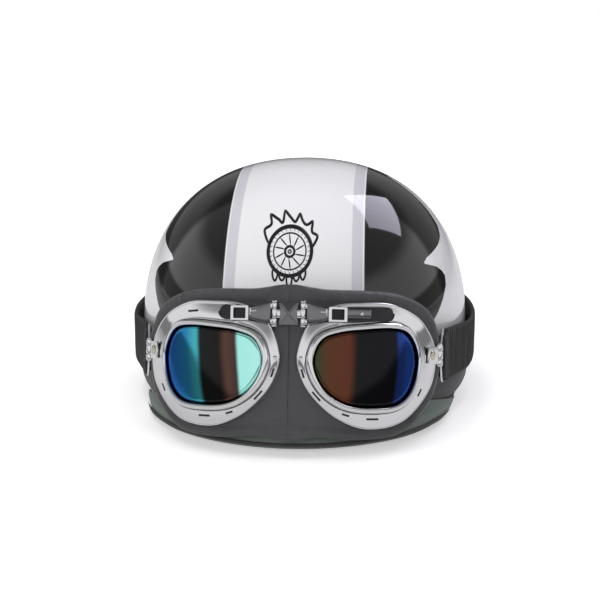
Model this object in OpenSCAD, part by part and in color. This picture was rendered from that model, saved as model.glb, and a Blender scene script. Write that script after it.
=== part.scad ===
// Half-shell motorcycle helmet with a padded peak, leatherette rim band, chin strap
// and a pair of chrome split-lens goggles on an elastic strap.
// The helmet faces -Y and stands on its edge bead at Z = 0.

/* [Shell] */
// Half of the shell's outside width
shell_half_w = 124.5; // [120:0.5:128]
// Reach of the shell in front of its widest section
shell_front = 138; // [132:0.5:142]
// Reach of the shell behind its widest section
shell_rear = 146; // [140:0.5:152]
// Height of the widest level above the rim
widest_z = 50; // [46:1:53]
// Height of the crown above the widest level
crown_rise = 126; // [122:0.5:130]
// Roundness of the dome: 2 is an ellipse, more is squarer
dome_power = 2.3; // [2.15:0.05:2.5]
// Share by which the rim is narrower than the widest level
rim_tuck = 0.06; // [0.05:0.005:0.065]
// Wall of the moulded shell
shell_wall = 3.6; // [3:0.1:4.5]
// Thickness of the foam impact liner
liner_wall = 22; // [18:1:24]
// Thickness of the comfort pads
pad_wall = 8; // [6:0.5:9]

/* [Rim] */
// Height of the leatherette rim band
band_h = 38; // [34:1:40]
// How far the rim band bulges from the shell
band_bulge = 5; // [4:0.5:6]
// Height of the rubber edge bead
bead_h = 6; // [5:0.5:7]
// How far the peak reaches in front of the band
peak_reach = 22; // [16:1:24]
// Thickness of the peak's rolled edge
peak_edge = 7; // [5:0.5:8]

/* [Goggles] */
// Lean of the goggles back from upright, in degrees
lean = 16; // [14:1:18]
// Angle that each eye frame turns back round the shell, in degrees
wrap = 25; // [22:1:26]
// Radius that each eye frame is curved to
frame_bend = 120; // [110:5:140]
// Distance of the goggles' middle in front of the shell's widest section
goggles_y = 159; // [158:0.5:162]
// Height of the goggles' middle
goggles_z = 63; // [61:1:66]
// Height of the chrome frame's face at the lens ring
frame_rise = 6.5; // [5.5:0.5:7]
// Distance of each hinge pin from the middle of the bridge
pin_x = 9.5; // [9:0.5:10]
// Height of the bridge above the goggles' middle
bridge_w = 32; // [31:0.5:33]
// Width of the elastic strap
strap_w = 36; // [32:1:38]
// Thickness of the elastic strap
strap_t = 2.2; // [1.6:0.1:2.4]

/* [Chin strap] */
// Width of the chin strap webbing
web_w = 20; // [18:1:21]
// Thickness of the chin strap webbing
web_t = 2; // [1.4:0.1:2.2]
// Radius of the pins that the chin strap swings on
swing_pin_r = 3; // [2.5:0.25:3.5]

/* [Hidden] */

$fn = 48;
hair = 0.3;             // gap between separate pieces that lie against each other
run = 0.05;             // radial clearance of a turning fit
around = 44;            // facets round the dome
outline_steps = 42;     // facets round an eye outline
crown_angle = 87;       // where the dome's flat top begins, in degrees of rise
liner_outer = shell_wall + hair;
liner_inner = liner_outer + liner_wall;
pad_outer = liner_inner + hair;
pad_inner = pad_outer + pad_wall;
strap_gap = 4.5;        // gap from the shell to the elastic strap
strap_mid = strap_gap + strap_t / 2;
strap_side_z = 45.5;      // height of the strap's middle line beside the shell
strap_rear_z = 46;      // and behind it
slider_az = 34;         // azimuth of the strap sliders behind the widest section
slider_l = 16;          // length of a strap slider
bridge_n = 4.5;         // height of the bridge in front of the goggles' middle plane
eye_x = 5;              // where each eye's own outline begins, from the middle
bail_w = 6.5;             // height of the side brackets above the goggles' middle
plate_u = 96.5;         // place of the side plate's rivet along the eye outline
flange_turn = 14;       // slope of the frame's outer flange, in degrees
bail_arm = 11;          // from the rivet to the bail's hinge
bail_turn = 15;         // how far the bail lies back from the flange, in line with the strap
frame_face = 5;       // height of the frame's face at the rivet
tab_y = shell_rear + 7.4;
tab_t = 2.5;
tab_w = 26;
tab_hinge_z = 74;
snap_z = 14;
swing_y = -8;           // place of the chin strap's swing axis
swing_z = 14;
hanger_x = shell_half_w - liner_inner - 8.4;

// the eye outline, in millimetres across and up from the bridge
lens_knots = [[83.3, 0], [81, 12.5], [73.5, 21.5], [61, 23.7], [44, 22.6], [26, 20.4], [13.5, 15.5],
    [8, 4], [9.5, -8.5], [17.5, -20.5], [31, -28], [50, -29.6], [67.5, -27], [78.5, -17]];
frame_knots = [[103, 1], [100.5, 16], [88, 31], [66, 40.2], [46, 41], [24, 39], [8, 29.5],
    [-0.5, 8], [1, -8], [9.5, -23.5], [25.5, -37.5], [47, -44.4], [74, -39], [96, -19]];
cushion_knots = [[111, 1], [109.5, 20], [97, 38.5], [72, 47.5], [46, 49], [22, 49], [-5, 47],
    [-5.5, 10], [-5.5, -14], [-5.5, -45], [18, -49.5], [47, -51.5], [78, -46], [102, -24]];
ring_crest = [1.8, 10];     // the lens ring's highest line: offset from the lens edge, height

// ---- curves
function mix(a, b, k) = a + (b - a) * k;
function smooth(k) = let (c = min(max(k, 0), 1)) c * c * (3 - 2 * c);

// closed curve through the knots, t counts knots
function through(k, t) = let (n = len(k), i = floor(t), f = t - i,
    a = k[(i + n - 1) % n], b = k[i % n], c = k[(i + 1) % n], d = k[(i + 2) % n])
    0.5 * (2 * b + (c - a) * f + (2 * a - 5 * b + 4 * c - d) * f * f
    + (3 * b - a - 3 * c + d) * f * f * f);

// outward unit normal of such a curve, which runs counter-clockwise
function curve_normal(k, t) = let (d = through(k, t + 0.02) - through(k, t + len(k) - 0.02))
    [d[1], -d[0]] / norm(d);

// ---- the dome: a super-ellipse profile on an egg-shaped plan, d inside the outer face
function dome_share(z, d) = z >= widest_z
    ? pow(max(0, 1 - pow((z - widest_z) / (crown_rise - d), dome_power)), 1 / dome_power)
    : 1 - rim_tuck * pow((widest_z - z) / widest_z, 2);
function dome_at(az, z, d) = let (s = dome_share(z, d))
    [((shell_half_w - d) * s) * cos(az), ((sin(az) < 0 ? shell_front : shell_rear) - d) * s * sin(az), z];
function dome_ring(z, d) = [for (i = [0 : around - 1]) dome_at(i * 360 / around, z, d)];
function rise_z(angle, d) = widest_z + (crown_rise - d) * pow(sin(angle), 2 / dome_power);

// ---- the eye's surface
function edge_out(t, off) = through(lens_knots, t) + curve_normal(lens_knots, t) * off;
function frame_edge(t, k) = mix(edge_out(t, 4.3), through(frame_knots, t), k);

lean_up = [0, sin(lean), cos(lean)];
lean_out = [0, -cos(lean), sin(lean)];
eye_across = [cos(wrap), 0, 0] - sin(wrap) * lean_out;
eye_out = [sin(wrap), 0, 0] + cos(wrap) * lean_out;
frame_mid_u = 50;           // where the bent frame stands furthest out
function bend_n(u) = (frame_mid_u * frame_mid_u - (u - frame_mid_u) * (u - frame_mid_u)) / (2 * frame_bend);
function goggles_point(x, w, n) = [x, -goggles_y, goggles_z] + lean_up * w + lean_out * n;
function eye_point(q, n) = goggles_point(eye_x, 0, 0) + eye_across * q[0] + lean_up * q[1]
    + eye_out * (n + bend_n(q[0]));

// puts a child on the bridge's plane: X across, Z up, -Y out
module at_bridge(x, w, n) translate(goggles_point(x, w, n)) rotate([-lean, 0, 0]) children();
// puts a child on the eye's bent face, in the same directions
module at_eye(u, w, n) translate(eye_point([u, w], n)) rotate([-lean, 0, 0])
    rotate([0, 0, wrap + atan((u - frame_mid_u) / frame_bend)]) children();
// puts a child on the frame's outer flange, turned with it, dx further out along it
module at_flange(dx) at_eye(plate_u, bail_w, frame_face) rotate([0, 0, flange_turn])
    translate([dx, 0, 0]) children();
function flange_dir(more) = let (turn = wrap + atan((plate_u - frame_mid_u) / frame_bend) + flange_turn + more)
    cos(turn) * [1, 0, 0] - sin(turn) * lean_out;
bail_hinge = eye_point([plate_u, bail_w], frame_face) + flange_dir(0) * bail_arm + flange_dir(-90) * 1.1;
module right_side() mirror([1, 0, 0]) children();

// ---- placing: the origin is under the middle of the whole object's box
goggles_reach = -min([for (i = [0 : outline_steps - 1]) let (t = i * len(lens_knots) / outline_steps)
    eye_point(edge_out(t, ring_crest[0]), ring_crest[1])[1]]);
rear_reach = tab_y + tab_t + 2;
home_y = (goggles_reach - rear_reach) / 2;
module at_home() translate([0, home_y, 0]) children();

// ---- solids from rings of points
module loft(rings, closed = false) {
    n = len(rings[0]);
    m = len(rings);
    steps = closed ? m : m - 1;
    sides = [for (i = [0 : steps - 1], j = [0 : n - 1]) let (a = i * n, b = ((i + 1) % m) * n, k = (j + 1) % n)
        each [[a + j, b + j, b + k], [a + j, b + k, a + k]]];
    ends = closed ? [] : [[for (j = [0 : n - 1]) j], [for (j = [n - 1 : -1 : 0]) (m - 1) * n + j]];
    polyhedron([for (r = rings) each r], concat(sides, ends));
}

// closed ring round the eye outline from a section of [offset, height] points
module eye_ring(section) loft([for (i = [0 : outline_steps - 1]) let (t = i * len(lens_knots) / outline_steps)
    [for (s = section) eye_point(edge_out(t, s[0]), s[1])]], closed = true);

// flat band of width w and thickness t along a list of [point, sideways unit vector, upward unit vector]
module ribbon(path, w, t) loft([for (p = path) let (up = (p[2] == undef ? [0, 0, 1] : p[2]) * w / 2, side = p[1] * t / 2)
    [p[0] + up - side, p[0] + up + side, p[0] - up + side, p[0] - up - side]]);

// pad against the liner between two azimuths and two heights
module wall_pad(az0, az1, z0, z1) {
    steps = 10;
    edge = 2.5;
    loft([for (i = [0 : steps]) let (az = mix(az0, az1, i / steps), end = i == 0 || i == steps ? edge : 0) [
        dome_at(az, z1 - end, pad_outer), dome_at(az, z0 + end, pad_outer),
        dome_at(az, z0 + edge + end, pad_inner), dome_at(az, z1 - edge - end, pad_inner)]]);
}

// ---- helmet
module dome_solid(outer, inner, rim_z, rise_steps) {
    low = [rim_z, mix(rim_z, widest_z, 0.5)];
    inside = [for (i = [rise_steps : -1 : 0]) dome_ring(rise_z(i * crown_angle / rise_steps, inner), inner)];
    outside = [for (i = [0 : rise_steps]) dome_ring(rise_z(i * crown_angle / rise_steps, outer), outer)];
    loft(concat(inside, [dome_ring(low[1], inner), dome_ring(low[0], inner),
        dome_ring(low[0], outer), dome_ring(low[1], outer)], outside));
}
module outer_shell() color("white") dome_solid(0, shell_wall, bead_h + hair, 11);
module impact_liner() color("dimgray") dome_solid(liner_outer, liner_inner, bead_h + hair, 10);
module crown_pad() color("black") {
    base = 118;
    steps = 6;
    low_angle = asin(pow((base - widest_z) / (crown_rise - pad_outer), dome_power / 2));
    angles = [for (i = [0 : steps]) mix(low_angle, crown_angle, i / steps)];
    inside = [for (i = [steps : -1 : 0]) dome_ring(rise_z(angles[i], pad_outer) - pad_wall, pad_inner - 1)];
    outside = [for (i = [0 : steps]) dome_ring(rise_z(angles[i], pad_outer), pad_outer)];
    loft(concat(inside, outside));
}
module brow_pad() color("black") wall_pad(-158, -22, 9, 62);
module left_side_pad() color("black") wall_pad(14, 62, 9, 92);
module right_side_pad() color("black") right_side() left_side_pad();
module nape_pad() color("black") wall_pad(66, 114, 9, 78);

function rim_outline(d) = [for (i = [0 : 71]) let (p = dome_at(i * 5, 0, d)) [p[0], p[1]]];
module edge_bead() color("black") linear_extrude(bead_h) difference() {
    polygon(rim_outline(-1.6));
    polygon(rim_outline(liner_inner - 2));
}
module rim_band() color("#2b2b2d") loft([for (i = [0 : 59]) let (az = i * 6) [
    dome_at(az, band_h, -hair), dome_at(az, band_h, -hair - 1), dome_at(az, band_h - 1.5, -hair - 1.9),
    dome_at(az, 25.4, -hair - 2), dome_at(az, 21, -hair - band_bulge * 0.94),
    dome_at(az, 15, -hair - band_bulge), dome_at(az, bead_h + 4, -hair - band_bulge * 0.8),
    dome_at(az, bead_h + hair, -hair - 1.8), dome_at(az, bead_h + hair, -hair),
    dome_at(az, mix(bead_h + hair, widest_z, 0.5), -hair)]], closed = true);

// the peak grows out of the band and fades out at the temples
peak_az0 = 200;
peak_az1 = 340;
peak_steps = 30;
function peak_share(az) = smooth((-sin(az) - 0.26) / 0.6);
function peak_point(az, out, z) = let (k = peak_share(az),
    low = dome_at(az, z, -mix(2.4, band_bulge + 2 * hair + 0.3, smooth((z - 3) / 9))),
    high = dome_at(az, 20, -band_bulge - 2 * hair), p = mix(low, high, min(1, out / 6) * sqrt(k)))
    [p[0] + 0.35 * cos(az) * out * k, p[1] + sin(az) * out * k, z];
function peak_section(az) = let (thick = mix(3, peak_edge, peak_share(az)), low = 2.5) [
    peak_point(az, 0, low + thick + 12 * peak_share(az)),
    peak_point(az, peak_reach * 0.55, low + thick + 5.5 * peak_share(az)),
    peak_point(az, peak_reach - 2, low + thick + 0.5 * peak_share(az)),
    peak_point(az, peak_reach, low + thick / 2),
    peak_point(az, peak_reach - 2, low),
    peak_point(az, peak_reach * 0.4, low + 2 * peak_share(az)),
    peak_point(az, 0, low + 4 * peak_share(az)),
    peak_point(az, 0, low + mix(0.6 * thick, 10.5, peak_share(az)))];
module peak() color("#3a3b3a") loft([for (i = [0 : peak_steps]) let (az = mix(peak_az0, peak_az1, i / peak_steps))
    [for (p = peak_section(az)) p + [0, -0.2 * peak_share(az), 0]]]);
module peak_piping() color("black") loft([for (i = [2 : peak_steps - 2]) let (
    az = mix(peak_az0, peak_az1, i / peak_steps), r = 1.3,
    c = peak_point(az, peak_reach, 2.5 + mix(3, peak_edge, peak_share(az)) / 2) + 1.8 * [cos(az), sin(az), 0])
    [for (k = [0 : 5]) c + r * [cos(az) * sin(k * 60), sin(az) * sin(k * 60), cos(k * 60)]]]);

// ---- goggle strap keeper at the back
patch_z = tab_hinge_z + 9;
patch_turn = atan((dome_at(90, patch_z - 7, 0)[1] - dome_at(90, patch_z + 7, 0)[1]) / 14);
module keeper_patch() color("black") translate(dome_at(90, patch_z, 0)) rotate([patch_turn, 0, 0])
    rotate([-90, 0, 0]) {
        translate([-tab_w / 2, -7, 0.5]) cube([tab_w, 14, 4]);
        translate([0, -1, 4.4]) cylinder(r = 4, h = 1.4);
    }
module snap_stud() color("silver") translate([0, (shell_rear + band_bulge + hair) * dome_share(snap_z, 0) + 1, snap_z])
    rotate([-90, 0, 0]) {
        cylinder(r = 4, h = 1.2);
        cylinder(r = 2, h = 5);
    }
module keeper_tab() color("black") translate([0, tab_y, 0]) rotate([-90, 0, 0]) difference() {
    hull() {
        translate([-tab_w / 2, -tab_hinge_z + 1, 0]) cube([tab_w, 10, tab_t]);
        translate([0, -snap_z, 0]) cylinder(r = 9, h = tab_t, $fn = 32);
    }
    translate([0, -snap_z, -1]) cylinder(r = 2.6, h = tab_t + 2);
}
module snap_cap() color("silver") translate([0, tab_y + tab_t, snap_z]) rotate([-90, 0, 0]) {
    cylinder(r = 6, h = 1.2);
    translate([0, 0, 1.2]) cylinder(r1 = 6, r2 = 4, h = 0.8);
    translate([0, 0, -tab_t + 0.2]) cylinder(r = 2.5, h = tab_t);
}

// ---- chin strap, folded up inside the opening in one U between its two swing pins
u_half_w = 80.5;              // from the middle to the webbing beside the pads
u_reach = 88;               // how far the U reaches behind its swing axis
function u_point(a) = [u_half_w * cos(a), swing_y + u_reach * sin(a), 0];
function u_side(a) = let (v = [cos(a) / u_half_w, sin(a) / u_reach, 0]) v / norm(v);
web_z = 1.2 + web_w / 2;
module webbing(a0, a1) ribbon([for (i = [0 : 12]) let (a = mix(a0, a1, i / 12))
    [u_point(a) + [0, 0, web_z], u_side(a)]], web_w, web_t);
module hanger() translate([hanger_x, swing_y, swing_z]) rotate([0, 90, 0]) {
    difference() {
        translate([-13, -9, 0]) cube([20, 18, 2]);
        for (y = [-5, 5]) translate([-8, y, -1]) cylinder(r = 1.9, h = 4);
    }
    translate([0, 0, -9]) cylinder(r = swing_pin_r, h = 10);
    translate([0, 0, -10.5]) cylinder(r = swing_pin_r + 2, h = 1.5);
}
module left_hanger() color("silver") hanger();
module right_hanger() color("silver") right_side() hanger();
module hanger_rivet(y) translate([hanger_x - 1.2, swing_y + y, swing_z + 8]) rotate([0, 90, 0]) {
    cylinder(r = 3, h = 1.1);
    cylinder(r = 1.85, h = liner_wall + 7.5);
}
module hanger_rivets() color("silver") for (m = [0, 1], y = [-5, 5]) mirror([m, 0, 0]) hanger_rivet(y);
module eyelet() translate([u_half_w + 1.3, swing_y, swing_z]) rotate([0, 90, 0]) difference() {
    union() {
        cylinder(r = 8, h = 1.6);
        translate([-8, 0, 0]) cube([16, 12, 1.6]);
    }
    translate([0, 0, -1]) cylinder(r = swing_pin_r + run, h = 4);
}
module strap_eyelets() color("silver") for (m = [0, 1]) mirror([m, 0, 0]) eyelet();
module left_webbing() color("black") webbing(9, 64);
module right_webbing() color("black") webbing(171, 117);

// ratchet buckle in the middle of the U, standing on its edge like the webbing
buckle_x = 27;              // half of the buckle's length
buckle_y = swing_y + u_reach - 3;
lever_y = buckle_y + 5;
lever_x = 14;
module ratchet_strip() color("black") translate([0, buckle_y - 1, web_z]) {
    difference() {
        translate([-12, -1.4, -7]) cube([52, 2.8, 14]);
        for (i = [0 : 9]) translate([-10 + i * 3, 1.4, -8]) rotate([0, 0, 45]) cube([1, 1, 16]);
    }
}
module buckle_body() color("silver") translate([0, buckle_y, web_z]) difference() {
    translate([-buckle_x - 6, -4, -web_w / 2]) cube([buckle_x + 26, 11, web_w]);
    translate([-buckle_x + 3, -2.9, -7.6]) cube([80, 3.9, 15.2]);
    translate([-buckle_x + 6, 1.5, -7.6]) cube([80, 10, 15.2]);
    translate([lever_x, 5, -20]) cylinder(r = 1.5 + run, h = 40);
}
module buckle_pin() color("silver") translate([lever_x, lever_y, web_z - web_w / 2])
    cylinder(r = 1.5, h = web_w);
module buckle_lever() color("#b02020") translate([lever_x, lever_y, web_z - 7.2]) difference() {
    union() {
        cylinder(r = 2.9, h = 14.4);
        translate([-33, -0.4, 0]) cube([33, 2.6, 14.4]);
    }
    translate([0, 0, -1]) cylinder(r = 1.5 + run, h = 20);
}

// ---- goggles: bridge
link_h = 15;
module bridge_link() color("silver") at_bridge(0, bridge_w, bridge_n) {
    knuckle_r = 2.4;
    for (s = [-1, 1]) translate([s * pin_x, 0, -2.9]) difference() {
        cylinder(r = knuckle_r, h = 5.8);
        translate([0, 0, -1]) cylinder(r = 1.2 + run, h = 8);
    }
    rotate([90, 0, 0]) translate([0, 0, -0.9]) linear_extrude(1.8) difference() {
        square([2 * (pin_x - 3.1), link_h], center = true);
        for (s = [-1, 1]) translate([s * 9.5, 0]) circle(r = 5.2);
        for (s = [-1, 1]) translate([0, s * 10]) circle(r = 4.5);
    }
    for (s = [-1, 1]) translate([s > 0 ? 4 : -pin_x + 1.6, -0.9, -2.9]) cube([pin_x - 5.6, 1.8, 5.8]);
}
module bridge_pins() color("silver") for (s = [-1, 1]) at_bridge(s * pin_x, bridge_w, bridge_n) {
    translate([0, 0, -link_h / 2]) cylinder(r = 1.2, h = link_h);
    for (m = [0, 1]) mirror([0, 0, m]) translate([0, 0, link_h / 2]) cylinder(r = 2, h = 1.4);
}
module nose_pad() color("#2b2b2d") loft([for (w = [46 : -8 : -34]) [
    goggles_point(0.7, w, -0.6), goggles_point(0.7, w, -8),
    goggles_point(-0.7, w, -8), goggles_point(-0.7, w, -0.6)]]);

// ---- goggles: one eye, drawn on the +X side, which is the wearer's left
module frame() loft([for (i = [0 : outline_steps - 1]) let (t = i * len(lens_knots) / outline_steps) [
    eye_point(frame_edge(t, 0), frame_rise), eye_point(frame_edge(t, 0.5), frame_rise - 1),
    eye_point(frame_edge(t, 0.93), 3.8), eye_point(frame_edge(t, 1), 2.4),
    eye_point(frame_edge(t, 1), 0), eye_point(frame_edge(t, 0), 0)]], closed = true);
module lens_ring() eye_ring([ring_crest, [3.6, 8.6], [4, 6.5], [4, 1], [0, 1], [0, 8.6]]);
module gasket() eye_ring([[-0.2, 4], [-0.2, 1.6], [-3, 1.6], [-3, 4]]);
lens_mid = [46, -3];
module lens() loft(concat(
    [for (r = [0.1, 0.55, 1]) [for (i = [0 : outline_steps - 1])
        let (t = i * len(lens_knots) / outline_steps) eye_point(mix(lens_mid, edge_out(t, -hair), r), 4.3 + 1.6 * (1 - r * r))]],
    [for (r = [1, 0.55, 0.1]) [for (i = [0 : outline_steps - 1])
        let (t = i * len(lens_knots) / outline_steps) eye_point(mix(lens_mid, edge_out(t, -hair), r), 6.3 + 1.6 * (1 - r * r))]]));
function cushion_at(t, k, n) = let (p = eye_point(mix(edge_out(t, 5), through(cushion_knots, t), k), n))
    [max(p[0], 1.1), p[1], p[2]];
module cushion() loft([for (i = [0 : outline_steps - 1]) let (t = i * len(lens_knots) / outline_steps) [
    cushion_at(t, 0, -hair), cushion_at(t, 0.86, -hair - 0.6), cushion_at(t, 1, -4.5),
    cushion_at(t, 0.85, -9.5), cushion_at(t, 0.05, -8)]], closed = true);
module vent_insert(u1) loft([for (i = [0 : 6]) let (u = mix(14, u1, i / 6), w = mix(32, 33.2, i / 6), d = i == 6 ? 3 : 4.6) [
    eye_point([u, w + d], 5.4), eye_point([u, w + d], 6.3), eye_point([u, w - d], 7.3), eye_point([u, w - d], 6.6)]]);
clip_u = 23.4;              // place of the square clip along the eye outline
module hinge_arm(reach) {
    at_bridge(pin_x, bridge_w, bridge_n) for (z = [3.2, -7.2]) translate([0, 0, z]) difference() {
        union() {
            cylinder(r = 2.4, h = 4);
            translate([0, -1, 0]) cube([3.2, 2, 4]);
        }
        translate([0, 0, -1]) cylinder(r = 1.2 + run, h = 6);
    }
    loft([for (i = [0 : 2]) let (p = [goggles_point(pin_x + 2.7, bridge_w, bridge_n),
        eye_point([12, bridge_w], 8.6), eye_point([clip_u - 6, bridge_w], 8.5)][i])
        [for (c = [[-1, 1], [1, 1], [1, -1], [-1, -1]]) p + lean_out * c[0] + lean_up * c[1] * [7.2, 5, 3.2][i]]]);
    at_eye(clip_u, bridge_w, 7.5) rotate([90, 0, 0]) linear_extrude(1.8) difference() {
        translate([-6.2, -5]) square([12.4, 10]);
        square([7.4, 6.6], center = true);
    }
    if (reach > 0) loft([for (u = [clip_u + 5.8, reach]) [for (c = [[2.8, 7.6], [2.8, 8.8], [-2.8, 8.8], [-2.8, 7.6]])
        eye_point([u, bridge_w + c[0]], c[1])]]);
}
module nose_stud() at_eye(2.4, 2.5, 2.6) rotate([90, 0, 0]) {
    cylinder(r = 1.5, h = 3);
    translate([0, 0, 3]) cylinder(r1 = 1.5, r2 = 0.9, h = 0.6);
}
module side_plate() at_flange(0) {
    rotate([90, 0, 0]) translate([0, 0, 0.4]) linear_extrude(1.4) difference() {
        translate([-5, -6]) square([13.2, 12]);
        circle(r = 2.1);
    }
    translate([bail_arm, -1.1, 0]) {
        difference() {
            union() {
                translate([0, 0, -2.9]) cylinder(r = 2.4, h = 5.8);
                translate([-3, -0.7, -2.9]) cube([3, 1.4, 5.8]);
            }
            translate([0, 0, -5]) cylinder(r = 1.1 + run, h = 10);
        }
    }
}
module bail_pin() at_flange(bail_arm) translate([0, -1.1, -7.6]) {
    cylinder(r = 1.1, h = 15.2);
    for (m = [0, 1]) translate([0, 0, m * 15.2 - 0.4]) cylinder(r = 1.9, h = 0.8);
}
module plate_rivet() at_flange(0) rotate([90, 0, 0]) translate([0, 0, -1.4]) {
    cylinder(r = 2.1 - run, h = 3.4);
    translate([0, 0, 3.3]) cylinder(r1 = 3.4, r2 = 2.2, h = 1.2);
}
module bail() at_flange(bail_arm) translate([0, -1.1, 0]) rotate([0, 0, bail_turn]) {
    for (m = [0, 1]) mirror([0, 0, m]) translate([0, 0, 3.2]) difference() {
        cylinder(r = 2.4, h = 4);
        translate([0, 0, -1]) cylinder(r = 1.1 + run, h = 6);
    }
    rotate([90, 0, 0]) translate([0, 0, -0.8]) linear_extrude(1.6) difference() {
        polygon([[1.9, -7.2], [3.5, -8], [6.5, -17.6], [10.5, -18.6], [10.5, 18.6], [6.5, 17.6], [3.5, 8], [1.9, 7.2],
            [1.9, 3.4], [3, 3.4], [3, -3.4], [1.9, -3.4]]);
        polygon([[4.6, -6], [7.6, -15.5], [7.6, 15.5], [4.6, 6]]);
    }
}

// ---- goggles: strap
strap_start = bail_hinge + flange_dir(bail_turn) * 11.3;
strap_front_z = strap_start[2];
tangent_az = -17;           // where the strap first lies along the shell
function strap_z(az) = mix(strap_side_z, strap_rear_z, smooth(az / 90));
function strap_on_dome(az) = let (p = dome_at(az, widest_z, -strap_mid))
    [[p[0], p[1], strap_z(max(az, 0))], let (v = [cos(az) / shell_half_w, sin(az) / shell_rear, 0]) v / norm(v)];
function strap_front_path() = let (b = strap_on_dome(tangent_az)) concat(
    [for (k = [0 : 3]) let (f = k / 4, p = mix(strap_start, b[0], f))
        [[p[0], p[1], mix(strap_front_z, strap_side_z, f)], let (v = mix([0.957, -0.29, 0], b[1], f)) v / norm(v),
            let (v = mix(lean_up, [0, 0, 1], f)) v / norm(v)]],
    [for (az = [tangent_az : 3 : slider_az - 1]) strap_on_dome(az)]);
module strap_front() ribbon([for (p = strap_front_path()) p], strap_w, strap_t);
module left_strap_front() color("black") strap_front();
module right_strap_front() color("black") right_side() strap_front();
module rear_strap() color("black") ribbon([for (az = [slider_az + 1 : (180 - 2 * slider_az - 2) / 44 : 180 - slider_az - 1])
    strap_on_rear(az)], strap_w, strap_t);
function strap_on_rear(az) = let (p = dome_at(az, widest_z, -strap_mid))
    [[p[0], p[1], strap_z(az <= 90 ? az : 180 - az)], let (v = [cos(az) / shell_half_w, sin(az) / shell_rear, 0]) v / norm(v)];
module slider() {
    p = strap_on_dome(slider_az);
    turn = atan2(p[1][1], p[1][0]);
    thick = 5.4;
    slot = strap_t + 1.7;
    translate(p[0]) rotate([0, 0, turn]) rotate([90, 0, 90]) translate([0, 0, -thick / 2]) difference() {
        translate([-slider_l / 2, -strap_w / 2 - 2, 0]) cube([slider_l, strap_w + 4, thick]);
        translate([-slider_l, -strap_w / 2 - 0.8, (thick - slot) / 2]) cube([2 * slider_l, strap_w + 1.6, slot]);
        translate([-4.5, -strap_w / 2 - 0.8, -1]) cube([9, strap_w + 1.6, thick + 2]);
    }
}

at_home() outer_shell();
at_home() impact_liner();
at_home() crown_pad();
at_home() brow_pad();
at_home() left_side_pad();
at_home() right_side_pad();
at_home() nape_pad();
at_home() edge_bead();
at_home() rim_band();
at_home() peak();
at_home() peak_piping();
at_home() left_hanger();
at_home() right_hanger();
at_home() hanger_rivets();
at_home() keeper_patch();
at_home() snap_stud();
at_home() keeper_tab();
at_home() snap_cap();
at_home() left_webbing();
at_home() right_webbing();
at_home() strap_eyelets();
at_home() ratchet_strip();
at_home() buckle_body();
at_home() buckle_pin();
at_home() buckle_lever();
at_home() bridge_link();
at_home() bridge_pins();
at_home() nose_pad();
at_home() left_strap_front();
at_home() right_strap_front();
at_home() rear_strap();
at_home() color("black") slider();  // left_slider
at_home() color("black") right_side() slider();  // right_slider
at_home() color("silver") frame();  // left_frame
at_home() color("silver") lens_ring();  // left_lens_ring
at_home() color("#2060c0") lens();  // left_lens
at_home() color("black") gasket();  // left_gasket
at_home() color("#2b2b2d") cushion();  // left_cushion
at_home() color("black") vent_insert(64);  // left_vent_insert
at_home() color("silver") hinge_arm(46);  // left_hinge_arm
at_home() color("silver") side_plate();  // left_side_plate
at_home() color("silver") plate_rivet();  // left_plate_rivet
at_home() color("silver") bail_pin();  // left_bail_pin
at_home() color("silver") nose_stud();  // left_nose_stud
at_home() color("silver") bail();  // left_bail
at_home() color("silver") right_side() frame();  // right_frame
at_home() color("silver") right_side() lens_ring();  // right_lens_ring
at_home() color("#2060c0") right_side() lens();  // right_lens
at_home() color("black") right_side() gasket();  // right_gasket
at_home() color("#2b2b2d") right_side() cushion();  // right_cushion
at_home() color("black") right_side() vent_insert(39);  // right_vent_insert
at_home() color("silver") right_side() hinge_arm(0);  // right_hinge_arm
at_home() color("silver") right_side() side_plate();  // right_side_plate
at_home() color("silver") right_side() plate_rivet();  // right_plate_rivet
at_home() color("silver") right_side() bail_pin();  // right_bail_pin
at_home() color("silver") right_side() nose_stud();  // right_nose_stud
at_home() color("silver") right_side() bail();  // right_bail
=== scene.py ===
import bpy
import bmesh
import math
from mathutils import Vector, Matrix, noise


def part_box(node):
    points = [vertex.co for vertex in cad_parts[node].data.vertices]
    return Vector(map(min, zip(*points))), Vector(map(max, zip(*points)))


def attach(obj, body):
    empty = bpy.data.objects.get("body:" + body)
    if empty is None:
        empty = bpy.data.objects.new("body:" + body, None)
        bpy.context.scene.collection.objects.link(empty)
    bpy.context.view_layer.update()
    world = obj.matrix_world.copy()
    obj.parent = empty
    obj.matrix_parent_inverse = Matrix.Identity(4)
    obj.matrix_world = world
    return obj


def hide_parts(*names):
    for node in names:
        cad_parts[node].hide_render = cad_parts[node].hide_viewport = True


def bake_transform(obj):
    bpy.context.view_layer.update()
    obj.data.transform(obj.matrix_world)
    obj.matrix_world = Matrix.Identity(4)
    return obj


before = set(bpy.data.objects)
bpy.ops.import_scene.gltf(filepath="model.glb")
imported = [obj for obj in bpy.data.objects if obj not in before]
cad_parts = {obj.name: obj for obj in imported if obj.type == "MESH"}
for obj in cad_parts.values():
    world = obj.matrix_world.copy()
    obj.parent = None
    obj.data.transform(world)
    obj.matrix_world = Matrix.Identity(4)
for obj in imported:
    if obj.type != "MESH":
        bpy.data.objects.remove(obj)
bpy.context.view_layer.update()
MM = 0.001
sin, cos, pi = math.sin, math.cos, math.pi

# ---------------------------------------------------------------- the helmet's own curves, in millimetres
# shell: half width, reach to the front and rear, height of the widest line, rise above it, roundness, tuck at the rim
HALF_W, FRONT, REAR, WIDEST, RISE, POWER, TUCK = 124.5, 138.0, 146.0, 50.0, 126.0, 2.3, 0.06
SHELL_WALL, LINER_BACK, LINER_FACE, PAD_BACK, PAD_DEPTH = 3.6, 3.9, 25.9, 26.2, 7.8
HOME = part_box("outer_shell")[1].y * 1000 - REAR
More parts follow.
